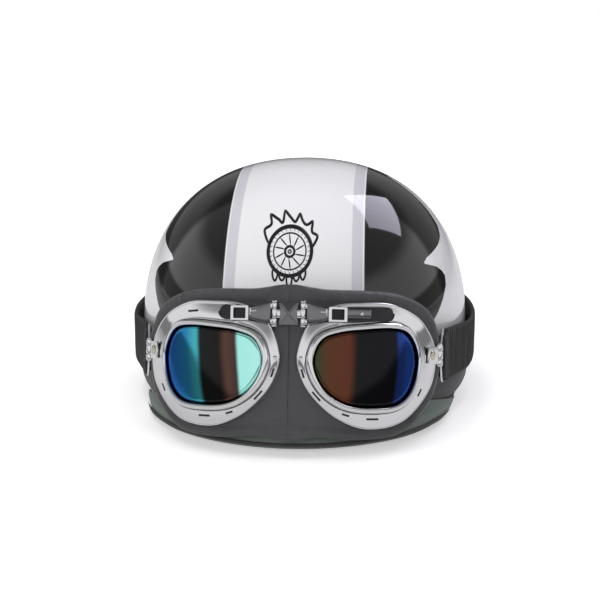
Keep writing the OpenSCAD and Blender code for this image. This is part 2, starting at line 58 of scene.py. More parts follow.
# goggles: lean and wrap of the faces, bend radius, front plane, start and middle of one eye
LEAN, WRAP, BEND = math.radians(16), math.radians(25), 120.0
FACE_Y, FACE_Z, EYE_X, MID_U = 159.0, 63.0, 5.0, 50.0
BRIDGE_W, BRIDGE_N, PIN_X = 32.0, 4.5, 9.5
LENS = [(83.3, 0), (81, 12.5), (73.5, 21.5), (61, 23.7), (44, 22.6), (26, 20.4), (13.5, 15.5),
        (8, 4), (9.5, -8.5), (17.5, -20.5), (31, -28), (50, -29.6), (67.5, -27), (78.5, -17)]
FRAME = [(103, 1), (100.5, 16), (88, 31), (66, 40.2), (46, 41), (24, 39), (8, 29.5),
         (-0.5, 8), (1, -8), (9.5, -23.5), (25.5, -37.5), (47, -44.4), (74, -39), (96, -19)]
CUSHION = [(111, 1), (109.5, 20), (97, 38.5), (72, 47.5), (46, 49), (22, 49), (-12, 49),
           (-14, 12), (-14, -14), (-14, -50), (18, -50), (47, -51.5), (78, -46), (102, -24)]
STRAP_MID, STRAP_W, STRAP_T = 5.6, 36.0, 2.2
TAB_Y = REAR + 7.4


def mix(a, b, k):
    return a + (b - a) * k


def smooth(k):
    k = min(max(k, 0.0), 1.0)
    return k * k * (3 - 2 * k)


def bump(x, centre, width):
    """A soft hill of height 1 round centre."""
    k = (x - centre) / width
    return math.exp(-k * k)


def spline(a, b, c, d, f):
    """Point at share f between b and c on a smooth curve through a, b, c and d."""
    return 0.5 * (2 * b + (c - a) * f + (2 * a - 5 * b + 4 * c - d) * f ** 2 + (3 * b - a - 3 * c + d) * f ** 3)


def through(knots, t):
    """Point t knots along a closed smooth curve, and its outward normal."""
    n = len(knots)
    i, f = int(math.floor(t)), t - math.floor(t)
    a, b, c, d = (Vector(knots[(i + j) % n]) for j in (-1, 0, 1, 2))
    p = spline(a, b, c, d, f)
    v = 0.5 * ((c - a) + 2 * (2 * a - 5 * b + 4 * c - d) * f + 3 * (3 * b - a - 3 * c + d) * f ** 2)
    return p, Vector((v.y, -v.x)).normalized()


def dome_share(z, d=0.0):
    """Share of the dome's full plan that is left at height z."""
    if z >= WIDEST:
        return max(0.0, 1 - ((z - WIDEST) / (RISE - d)) ** POWER) ** (1 / POWER)
    return 1 - TUCK * ((WIDEST - z) / WIDEST) ** 2


def dome(az, z, d=0.0, share=None):
    """Point of the dome at plan angle az, d inside its outer face."""
    s = dome_share(z, d) if share is None else share
    return Vector(((HALF_W - d) * s * cos(az), ((FRONT if sin(az) < 0 else REAR) - d) * s * sin(az), z))


def dome_profile(k, d, rim):
    """k = 0 at the rim and 1 at the crown: height and share of the dome's width."""
    if k < 0.22:
        z = mix(rim, WIDEST, k / 0.22)
        return z, dome_share(z, d)
    t = (k - 0.22) / 0.78 * pi / 2
    return WIDEST + (RISE - d) * sin(t) ** (2 / POWER), max(cos(t), 0) ** (2 / POWER)


UP = Vector((0, sin(LEAN), cos(LEAN)))
OUT = Vector((0, -cos(LEAN), sin(LEAN)))
ACROSS = Vector((cos(WRAP), 0, 0)) - sin(WRAP) * OUT
EYE_OUT = Vector((sin(WRAP), 0, 0)) + cos(WRAP) * OUT


def face(x, w, n):
    """Point on the goggles' leaning front plane."""
    return Vector((x, -FACE_Y, FACE_Z)) + UP * w + OUT * n


def eye(u, w, n):
    """Point on the wrapped eye surface: u outward, w up, n towards the front."""
    return face(EYE_X, 0, 0) + ACROSS * u + UP * w + EYE_OUT * (n + (MID_U ** 2 - (u - MID_U) ** 2) / (2 * BEND))


def eye_turn(u):
    return WRAP + math.atan((u - MID_U) / BEND)


def lens_edge(t, off=0.0):
    p, n = through(LENS, t)
    return p + n * off


def frame_edge(t, k):
    return lens_edge(t, 4.3).lerp(through(FRAME, t)[0], k)


# ---------------------------------------------------------------- making meshes
def place(p, side=1):
    return Vector((p[0] * side, p[1] + HOME, p[2])) * MM


def to_object(bm, name, side=1, merge=2e-6, seal=True):
    """Moves a mesh drawn in millimetres to its place, welds it and makes it an object."""
    for v in bm.verts:
        v.co = place(v.co, side)
    bmesh.ops.remove_doubles(bm, verts=bm.verts, dist=merge)
    bmesh.ops.dissolve_degenerate(bm, edges=bm.edges, dist=1e-7)
    if seal:
        bmesh.ops.recalc_face_normals(bm, faces=bm.faces)
    me = bpy.data.meshes.new(name)
    bm.to_mesh(me)
    bm.free()
    for f in me.polygons:
        f.use_smooth = True
    ob = bpy.data.objects.new(name, me)
    bpy.context.collection.objects.link(ob)
    return ob


def grid(nu, nv, shape, uv=(1.0, 1.0)):
    """A create_grid sheet whose points go to shape(u, v), u and v from 0 to 1, with a UV map of that size."""
    bm = bmesh.new()
    bmesh.ops.create_grid(bm, x_segments=nu, y_segments=nv, size=0.5)
    layer = bm.loops.layers.uv.new("along")
    for f in bm.faces:
        for l in f.loops:
            l[layer].uv = ((l.vert.co.x + 0.5) * uv[0], (l.vert.co.y + 0.5) * uv[1])
    for v in bm.verts:
        v.co = shape(v.co.x + 0.5, v.co.y + 0.5)
    return bm


def path_section(points, k, closed=True):
    """Point at share k along a list of 2-D section points joined by a smooth curve."""
    n = len(points)
    t = k * (n if closed else n - 1)
    i, f = int(math.floor(t)), t - math.floor(t)
    near = [(i + j) % n if closed else min(max(i + j, 0), n - 1) for j in (-1, 0, 1, 2)]
    return spline(*(Vector(points[j]) for j in near), f)


def flat_tube(v, wide, thick):
    """Round a tube at share v of its girth: two shares from -1 to 1, held flat on its faces and edges."""
    a = v * 2 * pi
    return max(-1, min(1, wide * cos(a))), max(-1, min(1, thick * sin(a)))


def set_at(origin, x, y, z):
    """Matrix that puts the origin and the three axes of a small piece where they belong."""
    return Matrix.Translation(origin) @ Matrix((x, y, z)).transposed().to_4x4()


def bevelled(bm, width, segments=2, angle=0.5):
    """Rounds the edges that turn by more than angle."""
    sharp = [e for e in bm.edges if e.is_manifold and e.calc_face_angle(0) > angle]
    bmesh.ops.bevel(bm, geom=sharp, offset=width, offset_type='OFFSET', segments=segments, profile=0.5,
                    affect='EDGES', material=-1, clamp_overlap=True)


def rod(bm, a, b, r, sides=24, cap=0.0):
    """A round bar from a to b in millimetres, with rounded ends of size cap."""
    a, b = Vector(a), Vector(b)
    turn = (b - a).to_track_quat('Z', 'Y').to_matrix().to_4x4()
    made = bmesh.ops.create_cone(bm, cap_ends=True, segments=sides, radius1=r, radius2=r,
                                 depth=(b - a).length, matrix=Matrix.Translation((a + b) / 2) @ turn)
    if cap > 0:
        ends = [e for e in bm.edges if e.verts[0] in made['verts'] and e.calc_face_angle(0) > 0.9]
        bmesh.ops.bevel(bm, geom=ends, offset=cap, segments=3, profile=0.5, affect='EDGES', material=-1)


def block(bm, size, matrix, bevel):
    """A bar with rounded edges, centred on the matrix."""
    made = bmesh.ops.create_cube(bm, size=1.0, matrix=matrix @ Matrix.Diagonal((*size, 1)))
    edges = list({e for v in made['verts'] for e in v.link_edges})
    bmesh.ops.bevel(bm, geom=edges, offset=bevel, segments=2, profile=0.5, affect='EDGES', material=-1)


def finish(ob, body, material, *nodes, slot=None):
    """Gives a piece its finish, the body it rides on and the nodes it stands for."""
    ob.data.materials.append(material)
    if body:
        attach(ob, body)
    if nodes:
        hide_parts(*nodes)
    return ob


def fit(bm, name, body, material, *nodes, side=1, slot="chrome"):
    """Finishes a piece that is made of separate closed parts, such as bars, plates and pins."""
    return finish(to_object(bm, name, side, seal=False), body, material, *nodes, slot=slot)


# ---------------------------------------------------------------- finishes
def new_material(name):
    m = bpy.data.materials.new(name)
    m.use_nodes = True
    nt = m.node_tree
    return m, nt, nt.nodes["Principled BSDF"], node(nt, "ShaderNodeTexCoord").outputs["Object"]


def node(nt, kind, **values):
    n = nt.nodes.new(kind)
    for k, v in values.items():
        setattr(n, k, v)
    return n


def link(nt, a, b):
    nt.links.new(a, b)


def put(nt, n, **values):
    """Sets a node's sockets by name: a number or colour goes on the socket, an output is linked to it."""
    for k, v in values.items():
        sock = n.inputs[k.replace("_", " ")]
        if isinstance(v, (int, float, tuple)):
            sock.default_value = v
        else:
            link(nt, v, sock)
    return n


def maths(nt, op, a, b=None):
    n = node(nt, "ShaderNodeMath", operation=op)
    for sock, x in zip(n.inputs, (a, b)):
        if isinstance(x, (int, float)):
            sock.default_value = x
        elif x is not None:
            link(nt, x, sock)
    return n.outputs[0]


def fraction(nt, value, start, end, low=0.0, high=1.0, kind='LINEAR'):
    """low at start and high at end, even or eased between them and held outside."""
    n = node(nt, "ShaderNodeMapRange", interpolation_type=kind)
    return put(nt, n, Value=value, From_Min=start, From_Max=end, To_Min=low, To_Max=high).outputs[0]


def noise_map(nt, place_, **values):
    return put(nt, node(nt, "ShaderNodeTexNoise"), Vector=place_, **values).outputs["Fac"]


def colour_mix(nt, fac, a, b):
    n = node(nt, "ShaderNodeMix", data_type='RGBA')
    link(nt, fac, n.inputs[0])
    for sock, x in ((n.inputs[6], a), (n.inputs[7], b)):
        if isinstance(x, (tuple, list)):
            sock.default_value = (*x, 1.0)
        else:
            link(nt, x, sock)
    return n.outputs[2]


def new_group(name, inputs, outputs):
    """An empty node group: the first input is a place, and every other socket is a number."""
    g = bpy.data.node_groups.new(name, "ShaderNodeTree")
    for i, word in enumerate(inputs):
        g.interface.new_socket(word, in_out='INPUT', socket_type='NodeSocketFloat' if i else 'NodeSocketVector')
    for word in outputs:
        g.interface.new_socket(word, in_out='OUTPUT', socket_type='NodeSocketFloat')
    return g, node(g, "NodeGroupInput").outputs, node(g, "NodeGroupOutput").inputs


def grain_group():
    """Leather and foam grain: a height and a colour variation from fine cells and soft clouds."""
    g, i, o = new_group("surface grain", ("Place", "Cell size", "Cloud size"), ("Height", "Clouds"))
    cells = put(g, node(g, "ShaderNodeTexVoronoi", feature='SMOOTH_F1'), Vector=i[0], Scale=i[1]).outputs["Distance"]
    fine = noise_map(g, i[0], Scale=maths(g, 'MULTIPLY', i[1], 1.7), Detail=4)
    link(g, maths(g, 'ADD', maths(g, 'MULTIPLY', cells, 0.6), maths(g, 'MULTIPLY', fine, 0.4)), o[0])
    link(g, noise_map(g, i[0], Scale=i[2], Detail=3), o[1])
    return g


def weave_group():
    """Woven cloth: crossing threads from two sets of bands."""
    g, i, o = new_group("woven threads", ("Place", "Across", "Along"), ("Height",))
    xyz = node(g, "ShaderNodeSeparateXYZ")
    link(g, i[0], xyz.inputs[0])
    a, b = (maths(g, 'ABSOLUTE', maths(g, 'SINE', maths(g, 'MULTIPLY', xyz.outputs[k], i[k + 1]))) for k in (0, 1))
    link(g, maths(g, 'MAXIMUM', a, maths(g, 'MULTIPLY', b, 0.8)), o[0])
    return g


def wear_group():
    """Fine handling marks: soft smudges and thin scratches as a roughness value."""
    g, i, o = new_group("handling marks", ("Place", "Polish", "Amount"), ("Roughness",))
    smudge = noise_map(g, i[0], Scale=28, Detail=5)
    stretch = put(g, node(g, "ShaderNodeMapping"), Vector=i[0], Scale=(60, 900, 900))
    scratch = maths(g, 'GREATER_THAN', noise_map(g, stretch.outputs[0], Scale=1.0), 0.66)
    marks = maths(g, 'ADD', smudge, maths(g, 'MULTIPLY', scratch, 0.6))
    link(g, maths(g, 'ADD', i[1], maths(g, 'MULTIPLY', marks, i[2])), o[0])
    return g


GRAIN, WEAVE, WEAR = grain_group(), weave_group(), wear_group()


def grouped(nt, group, **values):
    n = node(nt, "ShaderNodeGroup")
    n.node_tree = group
    return put(nt, n, **values).outputs


def bumped(nt, bsdf, height, strength, distance):
    b = put(nt, node(nt, "ShaderNodeBump"), Strength=strength, Distance=distance, Height=height)
    link(nt, b.outputs[0], bsdf.inputs["Normal"])


def shell_paint():
    """Glossy white paint with black side panels, silver bands and a jagged outer edge to the black."""
    m, nt, bsdf, place_ = new_material("shell paint")
    xyz = node(nt, "ShaderNodeSeparateXYZ")
    link(nt, place_, xyz.inputs[0])
    x = maths(nt, 'ABSOLUTE', xyz.outputs[0])
    y = maths(nt, 'SUBTRACT', xyz.outputs[1], HOME * MM)
    z = xyz.outputs[2]

    def side_line(points):
        """y in metres as a curve over the height z, through (z, y) points in millimetres."""
        c = node(nt, "ShaderNodeFloatCurve")
        curve = c.mapping.curves[0]
        pts = [(zz / 200, (yy + 200) / 400) for zz, yy in points]
        for p, q in zip((curve.points[0], curve.points[-1]), (pts[0], pts[-1])):
            p.location = q
        for q in pts[1:-1]:
            curve.points.new(*q)
        for p in curve.points:
            p.handle_type = 'VECTOR'
        c.mapping.update()
        link(nt, maths(nt, 'MULTIPLY', z, 5.0), c.inputs["Value"])
        return maths(nt, 'SUBTRACT', maths(nt, 'MULTIPLY', c.outputs[0], 0.4), 0.2)

    def above(a, b, edge=0.00035):
        """1 where a is greater than b, with an edge as soft as sprayed paint."""
        return fraction(nt, maths(nt, 'SUBTRACT', a, b), -edge, edge)

    jag = side_line([(0.0, -140), (38.5, -124), (57.7, -104), (74.0, -83), (78.9, -76.5), (85.6, -69), (94.7, -59),
                     (101.0, -56), (104.8, -58), (108.7, -62.5), (113.5, -75), (116.4, -69), (119.3, -55),
                     (121.7, -43), (125.0, -31), (131, -20), (140, -13), (148, -8), (155, -4), (161.6, 2),
                     (167.4, 14), (192.4, 60)])
    back = side_line([(0.0, 96), (38.5, 84), (76.9, 66), (105.8, 56), (134.6, 47), (152.0, 34), (161.6, 18),
                      (167.3, -6), (192.4, -60)])
    white_side = maths(nt, 'MULTIPLY', above(y, jag), above(back, y))
    stripe = maths(nt, 'ADD', maths(nt, 'MULTIPLY', z, -0.022), 0.0512)
    in_stripe = above(stripe, x)
    black = maths(nt, 'MULTIPLY', maths(nt, 'SUBTRACT', 1.0, in_stripe), maths(nt, 'SUBTRACT', 1.0, white_side))
    black = maths(nt, 'MAXIMUM', black, above(0.03, z))  # the lip under the rim band
    silver = maths(nt, 'MULTIPLY', in_stripe, above(x, maths(nt, 'SUBTRACT', stripe, 0.0085)))
    pin_line = maths(nt, 'MULTIPLY', in_stripe, above(x, maths(nt, 'SUBTRACT', stripe, 0.0010)))
    flake = put(nt, node(nt, "ShaderNodeTexVoronoi"), Vector=place_, Scale=1500).outputs["Distance"]
    metal = colour_mix(nt, maths(nt, 'MULTIPLY', flake, 0.5), (0.66, 0.65, 0.70), (0.80, 0.79, 0.84))
    base = colour_mix(nt, silver, (0.93, 0.93, 0.95), metal)
    base = colour_mix(nt, pin_line, base, (0.95, 0.95, 0.97))
    base = colour_mix(nt, black, base, (0.006, 0.006, 0.0065))
    marks = grouped(nt, WEAR, Place=place_, Polish=0.045, Amount=0.03)
    put(nt, bsdf, Base_Color=base, Roughness=marks[0], Coat_Weight=0.45, Coat_Roughness=0.03)
    bumped(nt, bsdf, noise_map(nt, place_, Scale=220), 0.05, 0.0004)  # orange peel
    return m


def two_tone(nt, fac, colour, low, high):
    """The colour made darker by low and lighter by high, mixed by fac."""
    return colour_mix(nt, fac, [c * low for c in colour], [min(1, c * high) for c in colour])


def leatherette(name, colour, shine=0.42, cells=1500, clouds=22, depth=0.35):
    """Sewn synthetic leather: fine grain with softly clouded colour and shine."""
    m, nt, bsdf, place_ = new_material(name)
    height, cloud = grouped(nt, GRAIN, Place=place_, Cell_size=cells, Cloud_size=clouds)
    put(nt, bsdf, Base_Color=two_tone(nt, cloud, colour, 0.8, 1.22), Sheen_Weight=0.12, Sheen_Roughness=0.5,
        Roughness=fraction(nt, cloud, 0.0, 1.0, shine - 0.06, shine + 0.10))
    bumped(nt, bsdf, height, depth, 0.0003)
    return m


def chrome(name, colour=(0.80, 0.80, 0.81), polish=0.05, amount=0.06):
    """Plated metal with smudges and fine scratches."""
    m, nt, bsdf, place_ = new_material(name)
    marks = grouped(nt, WEAR, Place=place_, Polish=polish, Amount=amount)
    cloud = noise_map(nt, place_, Scale=40)
    put(nt, bsdf, Base_Color=two_tone(nt, cloud, colour, 0.94, 1.04), Metallic=1.0, Roughness=marks[0])
    return m


def plain(name, colour, rough, cells=900, depth=0.15, metallic=0.0):
    """Moulded plastic, rubber, foam or plated steel with a fine texture."""
    m, nt, bsdf, place_ = new_material(name)
    height, cloud = grouped(nt, GRAIN, Place=place_, Cell_size=cells, Cloud_size=30)
    marks = grouped(nt, WEAR, Place=place_, Polish=rough, Amount=0.1)
    put(nt, bsdf, Base_Color=two_tone(nt, cloud, colour, 0.85, 1.15), Metallic=metallic, Roughness=marks[0])
    bumped(nt, bsdf, height, depth, 0.0003)
    return m


def cloth(name, colour, across, along, rough=0.85, uv=False, sheen=0.3):
    """Woven cloth, by place or along the piece's own UV map, with painted shade between the threads and painted
    highlight on them.
    """
    m, nt, bsdf, place_ = new_material(name)
    threads = node(nt, "ShaderNodeTexCoord").outputs["UV"] if uv else place_
    w = grouped(nt, WEAVE, Place=threads, Across=across, Along=along)[0]
    # painted shade and highlight: the colour follows the weave's height, darker in the gaps between threads and
    # lighter on their tops, with random tone mixed in
    shade = maths(nt, 'MULTIPLY', w, maths(nt, 'ADD', noise_map(nt, place_, Scale=60), 0.4))
    put(nt, bsdf, Base_Color=two_tone(nt, shade, colour, 0.55, 1.5), Roughness=rough, Sheen_Weight=sheen)
    bumped(nt, bsdf, w, 0.5, 0.0003)
    return m


def lens_coat_and_reflection(name, bands, slant):
    """Mirror coat over a dark lens, with painted reflection: colour bands that run down the lens, given as (x in mm,
    colour); the hues are partly the coat's own, and the dark and pale bands are reflected surroundings painted in.
    """
    m, nt, bsdf, place_ = new_material(name)
    xyz = node(nt, "ShaderNodeSeparateXYZ")
    link(nt, place_, xyz.inputs[0])
    wander = noise_map(nt, place_, Scale=16)
    zz = maths(nt, 'SUBTRACT', xyz.outputs[2], 0.060)
    bow = maths(nt, 'MULTIPLY', maths(nt, 'MULTIPLY', zz, zz), slant[1])
    x = maths(nt, 'ADD', maths(nt, 'ADD', xyz.outputs[0], maths(nt, 'MULTIPLY', zz, slant[0])), bow)
    x = maths(nt, 'ADD', x, maths(nt, 'MULTIPLY', maths(nt, 'SUBTRACT', wander, 0.5), 0.006))
    lo, hi = bands[0][0] * MM, bands[-1][0] * MM
    ramp = node(nt, "ShaderNodeValToRGB")
    els = ramp.color_ramp.elements
    for i, (bx, c) in enumerate(bands):
        pos = (bx * MM - lo) / (hi - lo)
        e = els[i] if i < 2 else els.new(pos)
        e.position = pos
        e.color = (*c, 1)
    ramp.color_ramp.interpolation = 'EASE'
    link(nt, fraction(nt, x, lo, hi), ramp.inputs[0])
    put(nt, bsdf, Base_Color=ramp.outputs[0], Metallic=0.9, Roughness=0.07, Coat_Weight=0.18, Coat_Roughness=0.02)
    return m


PAINT = shell_paint()
LEATHER = leatherette("cushion leatherette", (0.060, 0.060, 0.064))
BAND_LEATHER = leatherette("rim leatherette", (0.044, 0.042, 0.043), shine=0.46)
# partly painted light: the peak's grey-green leatherette colour is raised well above the rim band's to stand in for
# light bounced up onto it
PEAK_LEATHER_WITH_PAINTED_LIGHT = leatherette("peak leatherette with painted bounce light", (0.17, 0.205, 0.18), shine=0.5)
CHROME = chrome("bright chrome")
SATIN = chrome("pin chrome", (0.72, 0.72, 0.73), 0.14, 0.1)
STEEL = plain("zinc plate", (0.55, 0.55, 0.54), 0.3, 400, 0.1, 1.0)
# black of the vent insert, also used as painted shade in the frame's air slots
BLACK_INLAY_AND_SLOT_SHADE = plain("black inlay and painted slot shade", (0.012, 0.012, 0.014), 0.28, 1200, 0.05)
NYLON = plain("moulded nylon", (0.02, 0.02, 0.02), 0.4)
BRASS = chrome("rivet plate", (0.66, 0.62, 0.50), 0.12, 0.1)
INK = plain("emblem ink", (0.008, 0.008, 0.009), 0.25, 1500, 0.02)
SMOKED = chrome("smoked chrome", (0.20, 0.20, 0.21), 0.10, 0.08)
RED = plain("red lever", (0.35, 0.03, 0.025), 0.35)
RUBBER = plain("edge rubber", (0.022, 0.022, 0.022), 0.6, 1500, 0.3)
FOAM = plain("liner foam", (0.035, 0.035, 0.037), 0.75, 260, 0.9)
LINING = cloth("comfort lining", (0.03, 0.03, 0.032), 2600, 2600)
ELASTIC = cloth("gathered elastic", (0.0085, 0.0085, 0.009), 900, 1300, 0.8, uv=True, sheen=0.12)
WEBBING = cloth("chin webbing", (0.02, 0.02, 0.02), 1100, 2200, 0.7, uv=True)
# partly painted reflection: the dark bands and the pale, nearly white band stand in for surroundings mirrored in the
# lenses; the hues are partly the coat's own
LEFT_COAT_AND_REFLECTION = lens_coat_and_reflection("left lens coat and painted reflection", [
    (8, (0.035, 0.042, 0.022)), (20, (0.045, 0.052, 0.020)), (29, (0.10, 0.035, 0.014)), (41, (0.11, 0.030, 0.012)),
    (48, (0.006, 0.006, 0.007)), (71, (0.005, 0.005, 0.010)), (74, (0.015, 0.045, 0.24)), (81, (0.02, 0.09, 0.45)),
    (85, (0.008, 0.03, 0.18)), (92, (0.02, 0.08, 0.42))], (0.0, 3.0))
RIGHT_COAT_AND_REFLECTION = lens_coat_and_reflection("right lens coat and painted reflection", [
    (-92, (0.02, 0.16, 0.52)), (-80, (0.015, 0.17, 0.56)), (-71, (0.02, 0.24, 0.50)), (-63, (0.06, 0.46, 0.52)),
    (-59.5, (0.008, 0.012, 0.012)), (-47, (0.012, 0.008, 0.008)), (-41, (0.10, 0.045, 0.034)),
    (-35, (0.06, 0.035, 0.030)), (-32, (0.45, 0.98, 0.90)), (-6, (0.58, 1.0, 0.94))], (0.10, -2.0))

# ---------------------------------------------------------------- shell, liner and pads
RIM = 6.3


def dome_wall(name, d0, d1, around_, rows):
    """A dome-shaped wall from d0 to d1 inside the outer face, closed round the rim."""
    def shape(u, v):
        az = u * 2 * pi
        if v < 0.49:
            z, s = dome_profile(1 - v / 0.49, d1, RIM)
            return dome(az, z, d1, s)
        if v > 0.51:
            z, s = dome_profile((v - 0.51) / 0.49, d0, RIM)
            return dome(az, z, d0, s)
        return dome(az, RIM, mix(d1, d0, (v - 0.49) / 0.02))
    return to_object(grid(around_, rows, shape), name)


finish(dome_wall("outer_shell_skin", 0.0, SHELL_WALL, 200, 150), "helmet", PAINT, "outer_shell", slot="shell_paint")
finish(dome_wall("impact_liner_foam", LINER_BACK, LINER_FACE, 120, 80), "helmet", FOAM, "impact_liner",
       slot="foam")


def comfort_pad(name, az0, az1, z0, z1, nodes, side=1):
    """A puffed pad against the liner, with a sewn channel down its middle."""
    def shape(u, v):
        az = math.radians(mix(az0, az1, u))
        back = v < 0.5
        k = v * 2 if back else 2 - v * 2
        z = mix(z0, z1, k)
        puff = (min(1, 4 * u * (1 - u) * 2.2) * min(1, 4 * k * (1 - k) * 1.8)) ** 0.5
        channel = 0.35 * bump(u, 0.5, 0.02)
        return dome(az, z, PAD_BACK + (0.0 if back else PAD_DEPTH * puff * (1 - channel)))
    ob = to_object(grid(70, 60, shape), name, side)
    finish(ob, "helmet", LINING, *nodes, slot="lining")


comfort_pad("brow_pad_cloth", -158, -22, 9, 62, ["brow_pad"])
comfort_pad("left_side_pad_cloth", 14, 62, 9, 92, ["left_side_pad"])
comfort_pad("right_side_pad_cloth", 14, 62, 9, 92, ["right_side_pad"], -1)
comfort_pad("nape_pad_cloth", 66, 114, 9, 78, ["nape_pad"])


def crown_shape(u, v):
    az = u * 2 * pi
    inner = v < 0.5
    k = v * 2 if inner else 2 - v * 2
    t0 = math.asin(((118 - WIDEST) / (RISE - PAD_BACK)) ** (POWER / 2))
    t = mix(pi / 2, t0, k)
    z, s = WIDEST + (RISE - PAD_BACK) * sin(t) ** (2 / POWER), max(cos(t), 0) ** (2 / POWER)
    swell = 1 - k ** 6 if inner else 0
    drop = 7.6 * swell * (0.86 + 0.14 * abs(cos(3 * az)))
    narrow = 1 - 0.05 * swell
    p = dome(az, z, PAD_BACK, s)
    return Vector((p.x * narrow, p.y * narrow, p.z - drop))


crown = finish(to_object(grid(96, 48, crown_shape), "crown_pad_cloth"), "helmet", LINING, "crown_pad", slot="lining")


# ---------------------------------------------------------------- rim: bead, band and peak
def bead_shape(u, v):
    az = u * 2 * pi
    across, up = flat_tube(v, 1.25, 1.35)
    p = dome(az, 0, mix(23.9, -1.6, 0.5 + 0.5 * across))
    return Vector((p.x, p.y, 3 + 3 * up))


finish(to_object(grid(200, 40, bead_shape), "edge_bead_rubber"), "helmet", RUBBER, "edge_bead", slot="edge_rubber")

BAND = [(-0.5, 38), (-1.5, 37.6), (-2.1, 35.5), (-2.2, 30), (-2.6, 25.6), (-4.2, 22), (-5.1, 18.5), (-5.3, 15),
        (-4.6, 11), (-3.2, 8), (-1.6, 6.35), (-0.4, 6.4), (-0.35, 14), (-0.35, 24), (-0.35, 32)]


def band_shape(u, v):
    az = u * 2 * pi
    p = path_section(BAND, v)
    crease = 0.25 * noise.noise(Vector((cos(az) * 7, sin(az) * 7, v * 3)))
    return dome(az, p.y, min(p.x + crease, -0.3) if p.x < -1 else p.x)


band = finish(to_object(grid(320, 40, band_shape), "rim_band_leather"), "helmet", BAND_LEATHER, "rim_band",
              slot="leatherette")

PEAK0, PEAK1, REACH, EDGE = math.radians(200), math.radians(340), 22.0, 7.0


def peak_share(az):
    return smooth((-sin(az) - 0.26) / 0.6)


def peak_point(az, out, z):
    k = peak_share(az)
    p = dome(az, z, -mix(2.4, 5.9, smooth((z - 3) / 9))).lerp(dome(az, 20, -5.6), min(1, out / 6) * math.sqrt(k))
    return Vector((p.x + 0.35 * cos(az) * out * k, p.y + (sin(az) * out - 0.2) * k, z))


def peak_shape(u, v):
    az = mix(PEAK0, PEAK1, u)
    k = peak_share(az)
    thick = mix(3, EDGE, k)
    low = 2.5
    top = low + thick
    ring = [(0, top + 12 * k), (REACH * 0.28, top + 8.6 * k), (REACH * 0.55, top + 5.5 * k),
            (REACH * 0.8, top + 2.8 * k), (REACH - 1.6, top), (REACH, low + thick / 2), (REACH - 1.6, low),
            (REACH * 0.4, low + 2 * k), (0, low + 4 * k), (0, low + 10 * k)]
    p = path_section(ring, v)
    roll = 0.5 * k * bump(v, 0.34, 0.03)
    return peak_point(az, min(max(p.x, 0), REACH), p.y - roll)


peak = finish(to_object(grid(220, 60, peak_shape), "peak_leather"), "helmet", PEAK_LEATHER_WITH_PAINTED_LIGHT, "peak",
              slot="leatherette")


def piping_shape(u, v):
    az = mix(PEAK0, PEAK1, mix(2 / 30, 28 / 30, u))
    r = 1.25 * min(1, 12 * u + 0.02, 12 * (1 - u) + 0.02)
    c = peak_point(az, REACH, 2.5 + mix(3, EDGE, peak_share(az)) / 2) + 1.3 * Vector((cos(az), sin(az), 0))
    return c + r * Vector((cos(az) * sin(v * 2 * pi), sin(az) * sin(v * 2 * pi), cos(v * 2 * pi)))


finish(to_object(grid(260, 12, piping_shape), "peak_piping_cord"), "helmet", BAND_LEATHER, "peak_piping",
       slot="leatherette")

# ---------------------------------------------------------------- goggles
SIDES = (("left", 1), ("right", -1))


def ring_piece(name, side, section, turns, rows):
    """A ring round the eye outline: section(t, v) gives (u, w) and height n."""
    def shape(u, v):
        t = u * len(LENS)
        p, n = section(t, v)
        return eye(p.x, p.y, n)
    return to_object(grid(turns, rows, shape), name, side)


FRAME_SECTION = [(0.0, 6.4), (0.10, 6.5), (0.35, 6.0), (0.65, 5.0), (0.84, 4.3), (0.90, 4.5),
                 (0.96, 4.0), (1.0, 2.4), (0.99, 0.6), (0.95, 0.05), (0.5, 0.05), (0.05, 0.05)]
RING_SECTION = [(0.1, 1.0), (0.0, 5.0), (0.1, 8.6), (0.8, 9.7), (1.8, 10.0), (2.9, 9.6),
                (3.7, 8.4), (3.95, 6.0), (3.9, 2.0), (3.5, 1.0), (2.0, 1.0)]


def frame_section(t, v):
    p = path_section(FRAME_SECTION, v)
    return frame_edge(t, p.x), p.y


def ring_section(t, v):
    p = path_section(RING_SECTION, v)
    return lens_edge(t, p.x), p.y


def gasket_section(t, v):
    a = v * 2 * pi
    return lens_edge(t, -1.6 + 1.4 * cos(a)), 2.8 + 1.1 * sin(a)


def cushion_section(side):
    """Rolled and softly wrinkled pad: from the lens opening under the frame to a puffed outer roll."""
    ring = [(0.0, -0.4), (0.30, -0.5), (0.55, -0.45), (0.72, 0.7), (0.86, 1.1), (0.96, -0.8), (1.0, -4.0),
            (0.95, -7.4), (0.82, -9.4), (0.5, -9.2), (0.1, -8.2), (0.0, -6)]
    nose = [(0.0, -0.4), (0.30, -0.5), (0.55, -0.2), (0.78, 0.25), (0.92, 0.45), (1.0, 0.5), (1.0, -3.0),
            (1.0, -7.4), (0.86, -9.4), (0.5, -9.2), (0.1, -8.2), (0.0, -6)]

    def section(t, v):
        far = through(CUSHION, t)[0]
        k = smooth((10 - far.x) / 12)
        p = path_section(ring, v).lerp(path_section(nose, v), k)
        q = lens_edge(t, 5).lerp(far, min(p.x, 1.0) if k > 0.5 else p.x)
        n = p.y
        top = smooth((far.y - 30) / 12)
        outer = max(smooth((p.x - 0.6) / 0.3), k * smooth((p.x - 0.3) / 0.2)) * smooth((p.y + 8) / 4)
        middle = smooth((q.x + 5.5) / 8)
        crease = noise.noise(Vector((q.x * 0.11 + side * 7, q.y * 0.07, 3.0)))
        fold = noise.noise(Vector((q.x * 0.30 + side * 3, q.y * 0.05, 9.0)))
        n += outer * middle * (0.9 * crease + top * 0.7 * fold)
        low = smooth((-24 - q.y) / 10) * smooth((26 - q.x) / 16)
        n += outer * low * 0.55 * sin(math.hypot(q.x + 5.5, q.y + 78) * 0.62)
        return q, n
    return section


